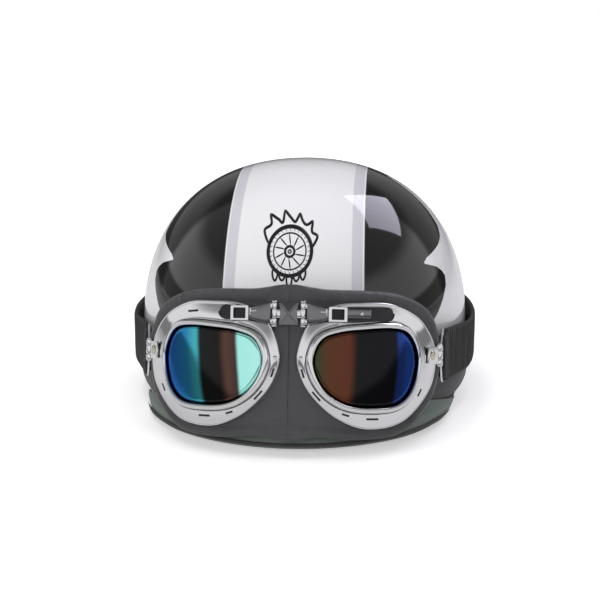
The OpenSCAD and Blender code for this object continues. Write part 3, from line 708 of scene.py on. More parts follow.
def eye_matrix(u, w, n):
    """Axes of the eye surface at a place: X outward, Y back into the face, Z up."""
    turn = eye_turn(u)
    x = Vector((cos(turn), 0, 0)) - sin(turn) * OUT
    y = -(Vector((sin(turn), 0, 0)) + cos(turn) * OUT)
    return set_at(eye(u, w, n), x, y, UP)


FLANGE = math.radians(14)
for name, side in SIDES:
    body = name + "_eyecup"
    rim_ = ring_piece(name + "_frame_chrome", side, frame_section, 224, 40)
    finish(rim_, body, CHROME, name + "_frame", slot="chrome")
    ring_ = ring_piece(name + "_lens_ring_chrome", side, ring_section, 224, 33)
    finish(ring_, body, CHROME, name + "_lens_ring", slot="chrome")
    seal_ = ring_piece(name + "_gasket_rubber", side, gasket_section, 112, 12)
    finish(seal_, body, RUBBER, name + "_gasket", slot="gasket_rubber")

    def lens_shape(u, v):
        t = u * len(LENS)
        front = v > 0.5
        r = (1 - v) * 2 if front else v * 2
        e = lens_edge(t, -0.3)
        p = Vector((46, -3)).lerp(e, r)
        return eye(p.x, p.y, (7.3 if front else 4.3) + (0.8 if front else 1.6) * (1 - r * r))
    lens = to_object(grid(168, 40, lens_shape), name + "_lens_coated", side)
    finish(lens, body, LEFT_COAT_AND_REFLECTION if side > 0 else RIGHT_COAT_AND_REFLECTION, name + "_lens", slot="lens_mirror")

    pad = ring_piece(name + "_cushion_leather", side, cushion_section(side), 280, 64)
    for v in pad.data.vertices:
        if v.co.x * side < 0.00001:
            v.co.x = 0.00001 * side
    pad.data.set_sharp_from_angle(angle=math.radians(60))
    finish(pad, None, LEATHER, name + "_cushion", *(["nose_pad"] if side > 0 else []), slot="leatherette")
    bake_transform(pad)

    end = 64 if side > 0 else 39

    def inlay_shape(u, v):
        uu = mix(13, end, u)
        d = 4.9 * math.sqrt(max(0.0, 1 - max(0.0, (uu - (end - 5)) / 5.0) ** 2)) if uu > end - 5 else 4.9
        w0 = mix(32, 33.2, u)
        sx, sy = flat_tube(v, 1.4, 1.6)
        w = w0 - d * sx
        return eye(uu, w, 5.9 + (0.9 * sx + 0.55) + 0.5 * sy)
    inlay = to_object(grid(60, 24, inlay_shape), name + "_channel_inlay", side)
    finish(inlay, body, BLACK_INLAY_AND_SLOT_SHADE, name + "_vent_insert", slot="recess_plastic")


# ---------------------------------------------------------------- small pressed and turned pieces
def joined(bm, b, matrix=None):
    """Adds mesh b to bm, moved by matrix."""
    if matrix is not None:
        bmesh.ops.transform(b, matrix=matrix, verts=b.verts)
    me = bpy.data.meshes.new("part")
    b.to_mesh(me)
    b.free()
    bm.from_mesh(me)
    bpy.data.meshes.remove(me)


def plate(bm, loops, y0, thick, matrix, bevel=0.25, segments=2):
    """A stamped plate from outlines in X and Z (the first is the edge, the others are windows), thick along Y."""
    b = bmesh.new()
    for loop in loops:
        vs = [b.verts.new((x, y0, z)) for x, z in loop]
        for i, v in enumerate(vs):
            b.edges.new((v, vs[(i + 1) % len(vs)]))
    bmesh.ops.triangle_fill(b, use_beauty=True, edges=b.edges[:])
    made = bmesh.ops.extrude_face_region(b, geom=b.faces[:])
    bmesh.ops.translate(b, verts=[g for g in made['geom'] if isinstance(g, bmesh.types.BMVert)], vec=(0, thick, 0))
    bmesh.ops.recalc_face_normals(b, faces=b.faces)
    if bevel:
        bevelled(b, bevel, segments)
    joined(bm, b, matrix)


def rectangle(x0, x1, z0, z1, r):
    """Outline of a rectangle with round corners."""
    pts = []
    for cx, cz, a0 in ((x1 - r, z0 + r, -90), (x1 - r, z1 - r, 0), (x0 + r, z1 - r, 90), (x0 + r, z0 + r, 180)):
        turns = [math.radians(a0 + a) for a in (0, 22.5, 45, 67.5, 90)]
        pts += [(cx + r * cos(t), cz + r * sin(t)) for t in turns]
    return pts


def circle(x, z, r, n=32):
    return [(x + r * cos(i * 2 * pi / n), z + r * sin(i * 2 * pi / n)) for i in range(n)]


def pin(bm, m, a, b, r, cap):
    rod(bm, m @ Vector(a), m @ Vector(b), r, 28, cap)


def dome_cap(bm, m, r, h):
    """A low domed head on the plane Y = 0, towards -Y."""
    b = bmesh.new()
    bmesh.ops.create_uvsphere(b, u_segments=32, v_segments=16, radius=1.0)
    cut = bmesh.ops.bisect_plane(b, geom=b.verts[:] + b.edges[:] + b.faces[:], plane_co=(0, 0, 0),
                                 plane_no=(0, 1, 0), clear_outer=True)
    rim = [e for e in cut['geom_cut'] if isinstance(e, bmesh.types.BMEdge)]
    bmesh.ops.edgeloop_fill(b, edges=rim)
    joined(bm, b, m @ Matrix.Diagonal((r, h, r, 1)))


def flange_dir(more=0.0):
    turn = eye_turn(96.5) + FLANGE + math.radians(more)
    return cos(turn) * Vector((1, 0, 0)) - sin(turn) * OUT


def axes(origin, x):
    """Frame with X along x, Z along UP and -Y outward."""
    x = x.normalized()
    return set_at(origin, x, UP.cross(x), UP)


HINGE = eye(96.5, 6.5, 5.0) + flange_dir() * 11 + flange_dir(-90) * 1.1
BAIL = axes(HINGE, flange_dir(15))
RIVET = axes(eye(96.5, 6.5, 5.0), flange_dir())
BRIDGE = axes(face(0, BRIDGE_W, BRIDGE_N), Vector((1, 0, 0)))
CLIP_U = 23.4

for name, side in SIDES:
    body = name + "_eyecup"
    # side plate with its knuckle, pin and domed rivet
    bm = bmesh.new()
    plate(bm, [rectangle(-5.0, 8.4, -6.0, 6.0, 1.2)], -1.9, 1.4, RIVET, 0.35, 3)
    knee = Matrix.Translation(HINGE) @ (RIVET.to_3x3().to_4x4())
    pin(bm, knee, (0, 0, -2.9), (0, 0, 2.9), 2.4, 0.35)
    block(bm, (3.2, 1.5, 5.8), knee @ Matrix.Translation((-1.6, 0, 0)), 0.3)
    fit(bm, name + "_side_plate_steel", body, CHROME, name + "_side_plate", side=side)
    bm = bmesh.new()
    dome_cap(bm, RIVET @ Matrix.Translation((0, -1.95, 0)), 3.3, 1.5)
    pin(bm, RIVET, (0, -2.2, 0), (0, 1.2, 0), 2.0, 0)
    fit(bm, name + "_plate_rivet_head", body, BRASS, name + "_plate_rivet", side=side)
    bm = bmesh.new()
    pin(bm, knee, (0, 0, -7.6), (0, 0, 7.6), 1.1, 0.1)
    for z in (-7.6, 7.6):
        pin(bm, knee, (0, 0, z - 0.5), (0, 0, z + 0.5), 1.9, 0.35)
    fit(bm, name + "_bail_pin_rod", body, SATIN, name + "_bail_pin", side=side)
    # bail: two knuckles, flared arms and the bar the strap is sewn round
    bm = bmesh.new()
    edge = [(2.9, -3.3), (1.9, -3.6), (1.9, -7.2), (3.3, -8.2), (4.6, -10.6), (5.4, -14.2), (6.2, -17.4),
            (7.4, -18.7), (9.6, -18.8), (10.5, -17.9), (10.5, 17.9), (9.6, 18.8),
            (7.4, 18.7), (6.2, 17.4), (5.4, 14.2), (4.6, 10.6), (3.3, 8.2),
            (1.9, 7.2), (1.9, 3.6), (2.9, 3.3)]
    window = [(4.9, -5.4), (5.6, -8.2), (6.5, -12.4), (7.6, -15.6), (7.6, 15.6), (6.5, 12.4), (5.6, 8.2), (4.9, 5.4)]
    plate(bm, [edge, window], -0.8, 1.6, BAIL, 0.45, 3)
    for z in (3.2, -7.2):
        pin(bm, BAIL, (0, 0, z), (0, 0, z + 4), 2.4, 0.4)
    fit(bm, name + "_bail_wire", name + "_bail", CHROME, name + "_bail", side=side)
    # hinge arm: knuckles round the bridge pin, a dark bar, the square clip over the channel
    bm = bmesh.new()
    for z in (3.2, -7.2):
        pin(bm, BRIDGE, (PIN_X, 0, z), (PIN_X, 0, z + 4), 1.9, 0.45)
        block(bm, (3.4, 1.8, 3.6), BRIDGE @ Matrix.Translation((PIN_X + 1.9, 0, z + 2)), 0.3)
    clip = eye_matrix(CLIP_U, BRIDGE_W, 7.5)
    plate(bm, [rectangle(-6.2, 6.2, -5.0, 5.0, 0.7), rectangle(-4.3, 4.3, -3.5, 3.5, 0.5)], -1.8, 1.8, clip, 0.4, 3)
    fit(bm, name + "_hinge_arm_clip", body, CHROME, name + "_hinge_arm", side=side)
    bm = bmesh.new()
    rows = []
    steps = ((face(PIN_X + 2.6, BRIDGE_W, BRIDGE_N), 7.2), (eye(12, BRIDGE_W, 8.6), 5.0),
             (eye(CLIP_U - 5.8, BRIDGE_W, 8.5), 3.4))
    for p, h in steps:
        rows.append([bm.verts.new(p + OUT * a + UP * b * h) for a, b in ((-1, -1), (1, -1), (1, 1), (-1, 1))])
    for r0, r1 in zip(rows, rows[1:]):
        for i in range(4):
            bm.faces.new((r0[i], r0[(i + 1) % 4], r1[(i + 1) % 4], r1[i]))
    bm.faces.new(rows[0][::-1])
    bm.faces.new(rows[-1])
    bmesh.ops.recalc_face_normals(bm, faces=bm.faces)
    bevelled(bm, 0.35, 3)
    if side > 0:
        tongue = rectangle(-8.2, 8.2, -2.9, 2.9, 0.6)
        plate(bm, [tongue], -1.1, 1.1, eye_matrix(37.8, BRIDGE_W + 0.9, 7.4), 0.3, 2)
    fit(bm, name + "_hinge_arm_bar", body, SMOKED, name + "_hinge_arm", side=side)
    bm = bmesh.new()
    if side > 0:
        dome_cap(bm, eye_matrix(39.5, BRIDGE_W + 0.9, 8.4), 1.1, 0.5)
    block(bm, (0.9, 1.0, 4.6), eye_matrix(15.4, BRIDGE_W + 1.5, 9.7), 0.3)
    block(bm, (4.2, 1.0, 0.9), eye_matrix(13.6, BRIDGE_W + 1.5, 9.7), 0.3)
    fit(bm, name + "_hinge_arm_keys", body, CHROME, name + "_hinge_arm", side=side)
    # nose stud
    bm = bmesh.new()
    stud = eye_matrix(2.4, 2.5, 2.6)
    pin(bm, stud, (0, 0, 0), (0, -2.6, 0), 1.5, 0.1)
    dome_cap(bm, stud @ Matrix.Translation((0, -2.5, 0)), 1.7, 1.0)
    fit(bm, name + "_nose_stud_head", body, CHROME, name + "_nose_stud", side=side)
    # air slots pressed in the flange, drawn as black blocks: painted shade standing in for their dark openings
    bm = bmesh.new()
    slots = ((3.15, 0.42, 4.2), (11.0, 0.30, 4.4), (10.1, 0.30, 2.6), (8.9, 0.42, 4.0), (7.9, 0.55, 3.0),
             (0.6, 0.25, 3.0), (13.0, 0.30, 3.0))
    for t, k, half in slots:
        a, b = frame_edge(t, k), frame_edge(t + 0.02, k)
        way = math.atan2((b - a).y, (b - a).x)
        n = mix(6.5, 4.4, k)
        slot_m = eye_matrix(a.x, a.y, n + 0.25) @ Matrix.Rotation(-way, 4, 'Y')
        block(bm, (2 * half, 0.9, 1.5), slot_m @ Matrix.Translation((0, 0.2, 0)), 0.3)
    fit(bm, name + "_air_slots", body, BLACK_INLAY_AND_SLOT_SHADE, side=side, slot="recess_plastic")

# bridge: bow-tie link with a faceted face, and the two posts
bm = bmesh.new()
for s_ in (-1, 1):
    pin(bm, BRIDGE, (s_ * PIN_X, 0, -2.9), (s_ * PIN_X, 0, 2.9), 2.0, 0.3)
    block(bm, (2.8, 1.9, 5.6), BRIDGE @ Matrix.Translation((s_ * 6.9, 0, 0)), 0.3)
fit(bm, "bridge_link_knuckles", "goggles", CHROME, "bridge_link")


def link_shape(u, v):
    x, z = mix(-1, 1, u), mix(-1, 1, v)
    edge_ = max(abs(x), abs(z))
    raised = 2.0 * (1 - edge_) - 0.3 * bump(abs(x) - abs(z), 0, 0.06) * (edge_ < 0.98)
    waist = 1 - 0.16 * (1 - z * z) ** 2
    return BRIDGE @ Vector((x * 6.5 * waist, -1.0 - raised, z * 7.3))


bm = grid(40, 40, link_shape)
back_edges = [e for e in bm.edges if e.is_boundary]
grown = bmesh.ops.extrude_edge_only(bm, edges=back_edges)
bmesh.ops.translate(bm, verts=[g for g in grown['geom'] if isinstance(g, bmesh.types.BMVert)], vec=-OUT * 1.9)
outline = [e for e in grown['geom'] if isinstance(e, bmesh.types.BMEdge) and e.is_boundary]
bmesh.ops.contextual_create(bm, geom=outline)
finish(to_object(bm, "bridge_link_face"), "goggles", SMOKED, "bridge_link", slot="chrome")
bm = bmesh.new()
for s_ in (-1, 1):
    pin(bm, BRIDGE, (s_ * PIN_X, 0, -7.6), (s_ * PIN_X, 0, 7.6), 1.2, 0.1)
    for z in (-8.1, 8.1):
        pin(bm, BRIDGE, (s_ * PIN_X, 0, z - 0.7), (s_ * PIN_X, 0, z + 0.7), 2.1, 0.6)
fit(bm, "bridge_pins_posts", "goggles", SATIN, "bridge_pins")

# ---------------------------------------------------------------- elastic strap
START = HINGE + flange_dir(15) * 11.3
SLIDER_AZ, TANGENT_AZ, SIDE_Z, REAR_Z = 34.0, -17.0, 45.5, 46.0


def strap_on_dome(deg):
    a = math.radians(deg)
    p = dome(a, WIDEST, -STRAP_MID)
    side_ = Vector((cos(a) / HALF_W, sin(a) / (FRONT if deg < 0 else REAR), 0)).normalized()
    m = min(max(deg if deg <= 90 else 180 - deg, 0) / 90, 1)
    return Vector((p.x, p.y, mix(SIDE_Z, REAR_Z, smooth(m)))), side_, Vector((0, 0, 1))


def strap_path():
    """Front strap from the bail to the slider as (length, point, outward, up)."""
    rows = []
    end, end_side, _ = strap_on_dome(TANGENT_AZ)
    first = Vector((0.957, -0.29, 0))
    for i in range(-6, 41):
        f = i / 40
        p = START.lerp(end, f)
        g = min(max(f, 0), 1)
        rows.append((p, first.lerp(end_side, g).normalized(), UP.lerp(Vector((0, 0, 1)), g).normalized()))
    for i in range(1, 91):
        rows.append(strap_on_dome(mix(TANGENT_AZ, SLIDER_AZ, i / 90)))
    out, total = [], 0.0
    for i, (p, a, b) in enumerate(rows):
        if i:
            total += (p - rows[i - 1][0]).length
        out.append((total, p, a, b))
    zero = out[6][0]
    return [(t - zero, p, a, b) for t, p, a, b in out]


PATH = strap_path()


def along(path, length):
    for i in range(len(path) - 1):
        if path[i + 1][0] >= length or i == len(path) - 2:
            k = (length - path[i][0]) / (path[i + 1][0] - path[i][0])
            return [path[i][j].lerp(path[i + 1][j], k) for j in (1, 2, 3)]


def elastic(path, l0, l1, side=1, looped=False):
    """A gathered elastic band: rounded edges and uneven ribs across it."""
    length = l1 - l0
    steps = int(abs(length) * 3.2) + 4

    def shape(u, v):
        l = mix(l0, l1, u)
        p, out_, up_ = along(path, l)
        flat, thick = flat_tube(v, 1.16, 2.6)
        wide, half, shift = STRAP_W / 2, STRAP_T / 2, 0.0
        rib = (0.5 + 0.5 * sin(l * 1.30 + 0.5 * sin(l * 0.37 + side))) ** 1.3
        wave = noise.noise(Vector((l * 0.22, flat * 1.6 + side * 5, 2.0)))
        body_ = 1.25 * rib + 0.35 * wave - 0.2
        if looped:
            near = 1 - smooth((l + 0.5) / 7.0)
            wide = mix(wide, 14.6, near)
            half = mix(half, 2.5, 1 - smooth((l - 2) / 9.0))
            nose_ = min(1.0, max(0.0, (l - l0) / 2.4))
            half *= math.sqrt(max(0.02, 1 - (1 - nose_) ** 2))
            body_ *= 0.5 + 0.5 * smooth((l - 2) / 6)
            body_ += 0.35 * near * sin(flat * 19) * (1 - abs(flat)) ** 0.3 * nose_
            shift = -0.25 * bump(l, 11.0, 0.5)
        edge_ = 1 - 0.35 * abs(flat) ** 10
        grow = (body_ * (0.5 if thick < 0 else 1.0)) * min(1, (1 - abs(flat)) * 8)
        off = thick * (half * edge_ + max(grow + shift, -0.4) * 0.6)
        return p + out_ * off + up_ * (flat * (wide + 0.2 * sin(l * 1.30)))
    return grid(steps, 48, shape, (length / 10, 4.0))


def capped(bm):
    """Closes the two open ends of a tube-like mesh after its seam is welded."""
    bmesh.ops.remove_doubles(bm, verts=bm.verts, dist=1e-4)
    rim = [e for e in bm.edges if e.is_boundary]
    bmesh.ops.holes_fill(bm, edges=rim, sides=0)
    return bm


LAST = PATH[-1][0]
for name, side in SIDES:
    cuts = ((LAST, 40.0, "helmet", "goggles", "rear"), (40.0, 11.5, "goggles", name + "_eyecup", "middle"),
            (11.5, -5.4, name + "_eyecup", name + "_bail", "loop"))
    for l1, l0, a, b, word in cuts:
        bm = capped(elastic(PATH, l0, l1, side, word != "rear"))
        ob = to_object(bm, name + "_strap_" + word, side)
        finish(ob, None, ELASTIC, name + "_strap_front", slot="elastic")
        from_ = along(PATH, l1 - (6.0 if word == "rear" else 1.0))[0]
        to_ = along(PATH, l0 + (7.0 if word == "loop" else 1.0))[0]
        place(from_, side)
        place(to_, side)
        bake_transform(ob)

REAR_PATH, total, before = [], 0.0, None
for i in range(181):
    p, a, b = strap_on_dome(mix(SLIDER_AZ, 180 - SLIDER_AZ, i / 180))
    total += (p - before).length if before else 0
    before = p
    REAR_PATH.append((total, p, a, b))
rear = to_object(capped(elastic(REAR_PATH, 0.0, total)), "rear_strap_elastic")
finish(rear, "helmet", ELASTIC, "rear_strap", slot="elastic")

p, a, b = strap_on_dome(SLIDER_AZ)
SLIDE = set_at(p, Vector((-a.y, a.x, 0)), -a, b)
for name, side in SIDES:
    bm = bmesh.new()
    for y0 in (-3.0, 1.8):
        loops = [rectangle(-8, 8, -20, 20, 1.6), rectangle(-4.6, 4.6, -17.6, 17.6, 0.8)]
        plate(bm, loops, y0, 0.85, SLIDE, 0.3, 2)
    for z in (-19.3, 19.3):
        block(bm, (16, 5.6, 1.3), SLIDE @ Matrix.Translation((0, -0.2, z)), 0.3)
    fit(bm, name + "_slider_nylon", name + "_slider", NYLON, name + "_slider", side=side, slot="recess_plastic")

# ---------------------------------------------------------------- keeper tab over the strap at the back
TAB_HINGE, SNAP = 74.0, 14.0
patch = dome(pi / 2, TAB_HINGE + 9, 0)
lean_back = math.atan((dome(pi / 2, TAB_HINGE + 2).y - dome(pi / 2, TAB_HINGE + 16).y) / 14)


def keeper_line(k):
    """Middle line of the leather tab: height, distance back and thickness."""
    pts = [(90.0, patch.y + 2.4 - 7 * math.tan(lean_back), 3.4), (83.0, patch.y + 2.7, 3.8),
           (77.5, patch.y + 2.9 + 5.5 * math.tan(lean_back), 3.4), (74.2, TAB_Y - 1.2, 2.6), (70.5, TAB_Y + 1.0, 2.4)]
    pts += [(z, TAB_Y + 1.25, 2.4) for z in (64, 50, 36, 22, 5.0)]
    return path_section(pts, k, False)


def tab_half(z):
    """Half the tab's width: even, then narrower, then a round end about the snap."""
    if z > 40:
        return 13.0
    return mix(9.0, 13.0, (z - SNAP) / 26) if z > SNAP else math.sqrt(max(0.0, 81 - (z - SNAP) ** 2))


def keeper_shape(u, v):
    p = keeper_line(u)
    q0, q1 = keeper_line(max(u - 0.01, 0)), keeper_line(min(u + 0.01, 1))
    way = Vector((q1.x - q0.x, q1.y - q0.y)).normalized()
    out_ = Vector((0, -way.x, way.y))
    half = tab_half(p.x)
    if u < 0.03:
        half *= math.sqrt(max(0.3, u / 0.03))
    flat, thick = flat_tube(v, 1.12, 2.2)
    puff = 1 - 0.25 * bump(abs(flat), 0.86, 0.04)
    return Vector((flat * half, p.y, p.x)) + out_ * (thick * p.z / 2 * puff * (1 if 0.004 < u < 0.996 else 0.7))


ob = to_object(capped(grid(150, 48, keeper_shape)), "keeper_tab_leather")
finish(ob, None, BAND_LEATHER, "keeper_tab", "keeper_patch", slot="leatherette")
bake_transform(ob)
BACK = Matrix.Rotation(pi, 4, 'Z')
bm = bmesh.new()
dome_cap(bm, Matrix.Translation((0, TAB_Y + 2.45, SNAP)) @ BACK, 6.0, 1.9)
pin(bm, Matrix.Identity(4), (0, TAB_Y + 0.3, SNAP), (0, TAB_Y + 2.5, SNAP), 2.5, 0.2)
fit(bm, "snap_cap_chrome", "keeper_tab", CHROME, "snap_cap")
bm = bmesh.new()
stud_y = (REAR + 5.3) * dome_share(SNAP) + 1.0
pin(bm, Matrix.Identity(4), (0, stud_y - 0.3, SNAP), (0, stud_y + 1.2, SNAP), 4.0, 0.3)
pin(bm, Matrix.Identity(4), (0, stud_y + 1.0, SNAP), (0, stud_y + 5.0, SNAP), 2.0, 0.4)
rivet_at = Matrix.Translation((0, patch.y + 4.6, TAB_HINGE + 10))
dome_cap(bm, rivet_at @ Matrix.Rotation(lean_back, 4, 'X') @ BACK, 4.0, 1.5)
fit(bm, "snap_stud_chrome", "helmet", CHROME, "snap_stud")

# ---------------------------------------------------------------- chin strap inside the opening
HANG_X, SWING_Y, SWING_Z, WEB_Z = HALF_W - LINER_FACE - 8.4, -8.0, 14.0, 11.2
WEB_X, WEB_Y = 80.5, 88.0
FORWARD, SIDEWAYS, UPRIGHT = Vector((0, 1, 0)), Vector((1, 0, 0)), Vector((0, 0, 1))
for name, side in SIDES:
    m = set_at((HANG_X, SWING_Y, SWING_Z), FORWARD, SIDEWAYS, UPRIGHT)
    bm = bmesh.new()
    plate(bm, [rectangle(-9, 9, -7, 13, 2.5)], 0.0, 2.0, m, 0.4, 2)
    rod(bm, (HANG_X - 9.2, SWING_Y, SWING_Z), (HANG_X + 0.5, SWING_Y, SWING_Z), 3.0, 32, 0.2)
    rod(bm, (HANG_X - 10.5, SWING_Y, SWING_Z), (HANG_X - 9.0, SWING_Y, SWING_Z), 5.0, 32, 0.4)
    fit(bm, name + "_hanger_steel", "helmet", STEEL, name + "_hanger", side=side, slot="steel")
bm = bmesh.new()
for s_ in (-1, 1):
    for y in (-5, 5):
        ry, rz = SWING_Y + y, SWING_Z + 8
        head = Matrix.Translation((s_ * (HANG_X - 0.05), ry, rz)) @ Matrix.Rotation(s_ * -pi / 2, 4, 'Z')
        dome_cap(bm, head, 3.0, 1.2)
        rod(bm, (s_ * (HANG_X - 0.2), ry, rz), (s_ * (HANG_X + 28), ry, rz), 1.8, 20)
fit(bm, "hanger_rivets_steel", "helmet", STEEL, "hanger_rivets", slot="steel")


def u_line(deg):
    """Point and outward direction of the chin strap's U at plan angle deg."""
    a = math.radians(deg)
    p = Vector((WEB_X * cos(a), SWING_Y + WEB_Y * sin(a), WEB_Z))
    return p, Vector((cos(a) / WEB_X, sin(a) / WEB_Y, 0)).normalized()


def web_shape(a0, a1):
    def shape(u, v):
        p, out_ = u_line(mix(a0, a1, u))
        flat, thick = flat_tube(v, 1.14, 2.4)
        fold = 0.5 * smooth((0.10 - u) / 0.02)
        hem = 1 - 0.3 * abs(flat) ** 12
        return p + out_ * (thick * (1.0 + fold) * hem) + Vector((0, 0, flat * 10.0))
    return shape


for name, a0, a1 in (("left", 9, 69.5), ("right", 171, 111)):
    web = to_object(capped(grid(180, 40, web_shape(a0, a1), (9.0, 2.0))), name + "_webbing_woven")
    finish(web, "chin_strap", WEBBING, name + "_webbing", slot="webbing")
bm = bmesh.new()
for s_ in (-1, 1):
    m = set_at((s_ * 81.8, SWING_Y, SWING_Z), FORWARD, s_ * SIDEWAYS, UPRIGHT)
    arc = [math.radians(90 + i * 11.25) for i in range(17)]
    tag = [(8 * cos(a), 8 * sin(a)) for a in arc] + [(12, -8), (12, 8)]
    plate(bm, [tag, circle(0, 0, 3.2)], 0.0, 1.6, m, 0.3, 2)
finish(to_object(bm, "strap_eyelets_steel"), "chin_strap", STEEL, "strap_eyelets", slot="steel")

BY = SWING_Y + 85
mid = Matrix.Translation((0, BY, WEB_Z))
bm = bmesh.new()
block(bm, (52, 2.6, 14), mid @ Matrix.Translation((14, -1, 0)), 0.4)
for i in range(10):
    block(bm, (1.4, 0.7, 13.2), mid @ Matrix.Translation((-9 + i * 3, 0.3, 0)), 0.2)
fit(bm, "ratchet_strip_nylon", "chin_strap", NYLON, "ratchet_strip", slot="buckle_plastic")
bm = bmesh.new()
block(bm, (53, 1.1, 20), mid @ Matrix.Translation((-6.5, -3.45, 0)), 0.3)
for z in (-8.8, 8.8):
    flat_on = mid @ Matrix.Translation((0, 0, z)) @ Matrix.Rotation(pi / 2, 4, 'X')
    plate(bm, [rectangle(-33, 20, -4, 4, 0.8)], -1.2, 2.4, flat_on, 0.3, 2)
    block(bm, (34, 3.6, 2.4), mid @ Matrix.Translation((3, 5.2, z)), 0.5)
block(bm, (10.4, 9.6, 19.6), mid @ Matrix.Translation((-28, 0.8, 0)), 0.6)
fit(bm, "buckle_body_steel", "chin_strap", STEEL, "buckle_body", slot="steel")
bm = bmesh.new()
rod(bm, (14, BY + 5, WEB_Z - 10.3), (14, BY + 5, WEB_Z + 10.3), 1.5, 24, 0.3)
fit(bm, "buckle_pin_steel", "chin_strap", STEEL, "buckle_pin", slot="steel")
bm = bmesh.new()
lever = Matrix.Translation((14, BY + 5, WEB_Z))
pin(bm, lever, (0, 0, -7.2), (0, 0, 7.2), 2.8, 0.4)
plate(bm, [rectangle(-33, 0.5, -7.2, 7.2, 2.5)], -0.4, 2.6, lever, 0.7, 3)
for i in range(5):
    block(bm, (1.0, 0.7, 10.5), lever @ Matrix.Translation((-30 + i * 2.4, 2.3, 0)), 0.2)
fit(bm, "buckle_lever_red", "buckle_lever", RED, "buckle_lever", slot="buckle_plastic")

# ---------------------------------------------------------------- emblem: a spoked wheel with flames and drips
def on_front(x, z, off):
    """Point of the dome's front at x and height z, off in front of it."""
    s_ = dome_share(z)
    y = -FRONT * math.sqrt(max(0.0, s_ * s_ - (x / HALF_W) ** 2))
    k = 0.5
    rise = (dome_share(z - k) ** 2 - dome_share(z + k) ** 2) / (4 * k)
    return Vector((x, y, z)) + Vector((x / HALF_W ** 2, y / FRONT ** 2, rise)).normalized() * off


def ink(bm, pts, width, closed=False):
    """A printed line of a given width along points (x, z), as a thin closed ribbon on the dome."""
    fine = []
    n = len(pts)
    for i in range(n if closed else n - 1):
        a, b = Vector(pts[i]), Vector(pts[(i + 1) % n])
        steps = max(1, int((b - a).length / 0.8))
        fine += [a.lerp(b, j / steps) for j in range(steps)]
    if not closed:
        fine.append(Vector(pts[-1]))
    m = len(fine)
    rows = []
    for i, p in enumerate(fine):
        a = fine[(i - 1) % m] if closed else fine[max(i - 1, 0)]
        b = fine[(i + 1) % m] if closed else fine[min(i + 1, m - 1)]
        d = (b - a).normalized()
        q = Vector((-d.y, d.x)) * width / 2
        if not closed:
            q *= 0.25 + 0.75 * min(1, i / 2.5, (m - 1 - i) / 2.5)
        corners = ((1, 0.03), (1, 0.11), (-1, 0.11), (-1, 0.03))
        rows.append([bm.verts.new(on_front(*(p + q * s_), off)) for s_, off in corners])
    for i in range(m if closed else m - 1):
        r0, r1 = rows[i], rows[(i + 1) % m]
        for j in range(4):
            bm.faces.new((r0[j], r1[j], r1[(j + 1) % 4], r0[(j + 1) % 4]))
    if not closed:
        bm.faces.new(rows[0])
        bm.faces.new(rows[-1][::-1])


def curve_points(knots):
    n = len(knots) * 6
    return [tuple(path_section(knots, i / n, False)) for i in range(n + 1)]


bm = bmesh.new()
CX, CZ, WHEEL = -2.5, 129.0, 15.0


def spoke(a, r0, b, r1, width):
    """A line from angle a and radius r0 to angle b and radius r1 about the hub."""
    ink(bm, [(CX + r0 * cos(a), CZ + r0 * sin(a)), (CX + r1 * cos(b), CZ + r1 * sin(b))], width)


for r, width, n in ((WHEEL, 2.4, 44), (11.2, 0.9, 44), (3.2, 1.6, 24), (1.0, 0.9, 16)):
    ink(bm, circle(CX, CZ, r, n), width, True)
for i in range(10):
    a = i * 2 * pi / 10 + 0.2
    spoke(a, 3.8, a + 0.2, 11.0, 0.9)
for i in range(28):
    a = i * 2 * pi / 28
    spoke(a, 12.3, a + 0.06, 14.2, 0.7)
flames = [[(-15, 4), (-18.5, 12), (-14, 16), (-15.5, 22)], [(-15.5, 22), (-9.5, 19), (-6, 17.2), (-5.4, 24.5)],
          [(-5.4, 24.5), (-0.5, 20), (2.8, 17.8), (5.5, 23)], [(5.5, 23), (8, 18), (11, 16), (15, 18.5)],
          [(15, 18.5), (14.6, 12), (18.5, 9), (15, 2)]]
for line in flames:
    ink(bm, curve_points([(CX + x, CZ + z) for x, z in line]), 1.7)
for x0, h in ((-9.5, 7.0), (-4.6, 4.0), (0.4, 8.0), (5.2, 4.6), (9.6, 6.2)):
    base = CZ - math.sqrt(WHEEL ** 2 - x0 ** 2) + 0.3
    drip = [(CX + x0 + dx, base - h * down) for dx, down in ((-1.9, 0), (-1.6, 0.6), (0, 1), (1.6, 0.6), (1.9, 0))]
    ink(bm, curve_points(drip), 1.3)
finish(to_object(bm, "stripe_emblem_ink"), "helmet", INK, slot="shell_paint")

# ---------------------------------------------------------------- floor, light and camera
floor_bm = bmesh.new()
bmesh.ops.create_grid(floor_bm, x_segments=1, y_segments=1, size=3.0)
floor_mesh = bpy.data.meshes.new("floor")
floor_bm.to_mesh(floor_mesh)
floor_bm.free()
floor = bpy.data.objects.new("floor", floor_mesh)
bpy.context.collection.objects.link(floor)
floor.location.z = -0.0003
m, nt, bsdf, place_ = new_material("pale floor")
put(nt, bsdf, Base_Color=(0.82, 0.82, 0.82, 1), Roughness=0.8)
seen = node(nt, "ShaderNodeLightPath").outputs["Is Camera Ray"]
far_off = node(nt, "ShaderNodeVectorMath", operation='LENGTH')
link(nt, place_, far_off.inputs[0])
fade = fraction(nt, far_off.outputs["Value"], 0.24, 0.62, 0.45, 1.0, 'SMOOTHSTEP')
glow = put(nt, node(nt, "ShaderNodeEmission"), Color=(1, 1, 1, 1), Strength=maths(nt, 'MULTIPLY', seen, fade))
both = node(nt, "ShaderNodeAddShader")
for sock, shader in zip(both.inputs, (bsdf, glow)):
    link(nt, shader.outputs[0], sock)
link(nt, both.outputs[0], nt.nodes["Material Output"].inputs["Surface"])
floor_mesh.materials.append(m)

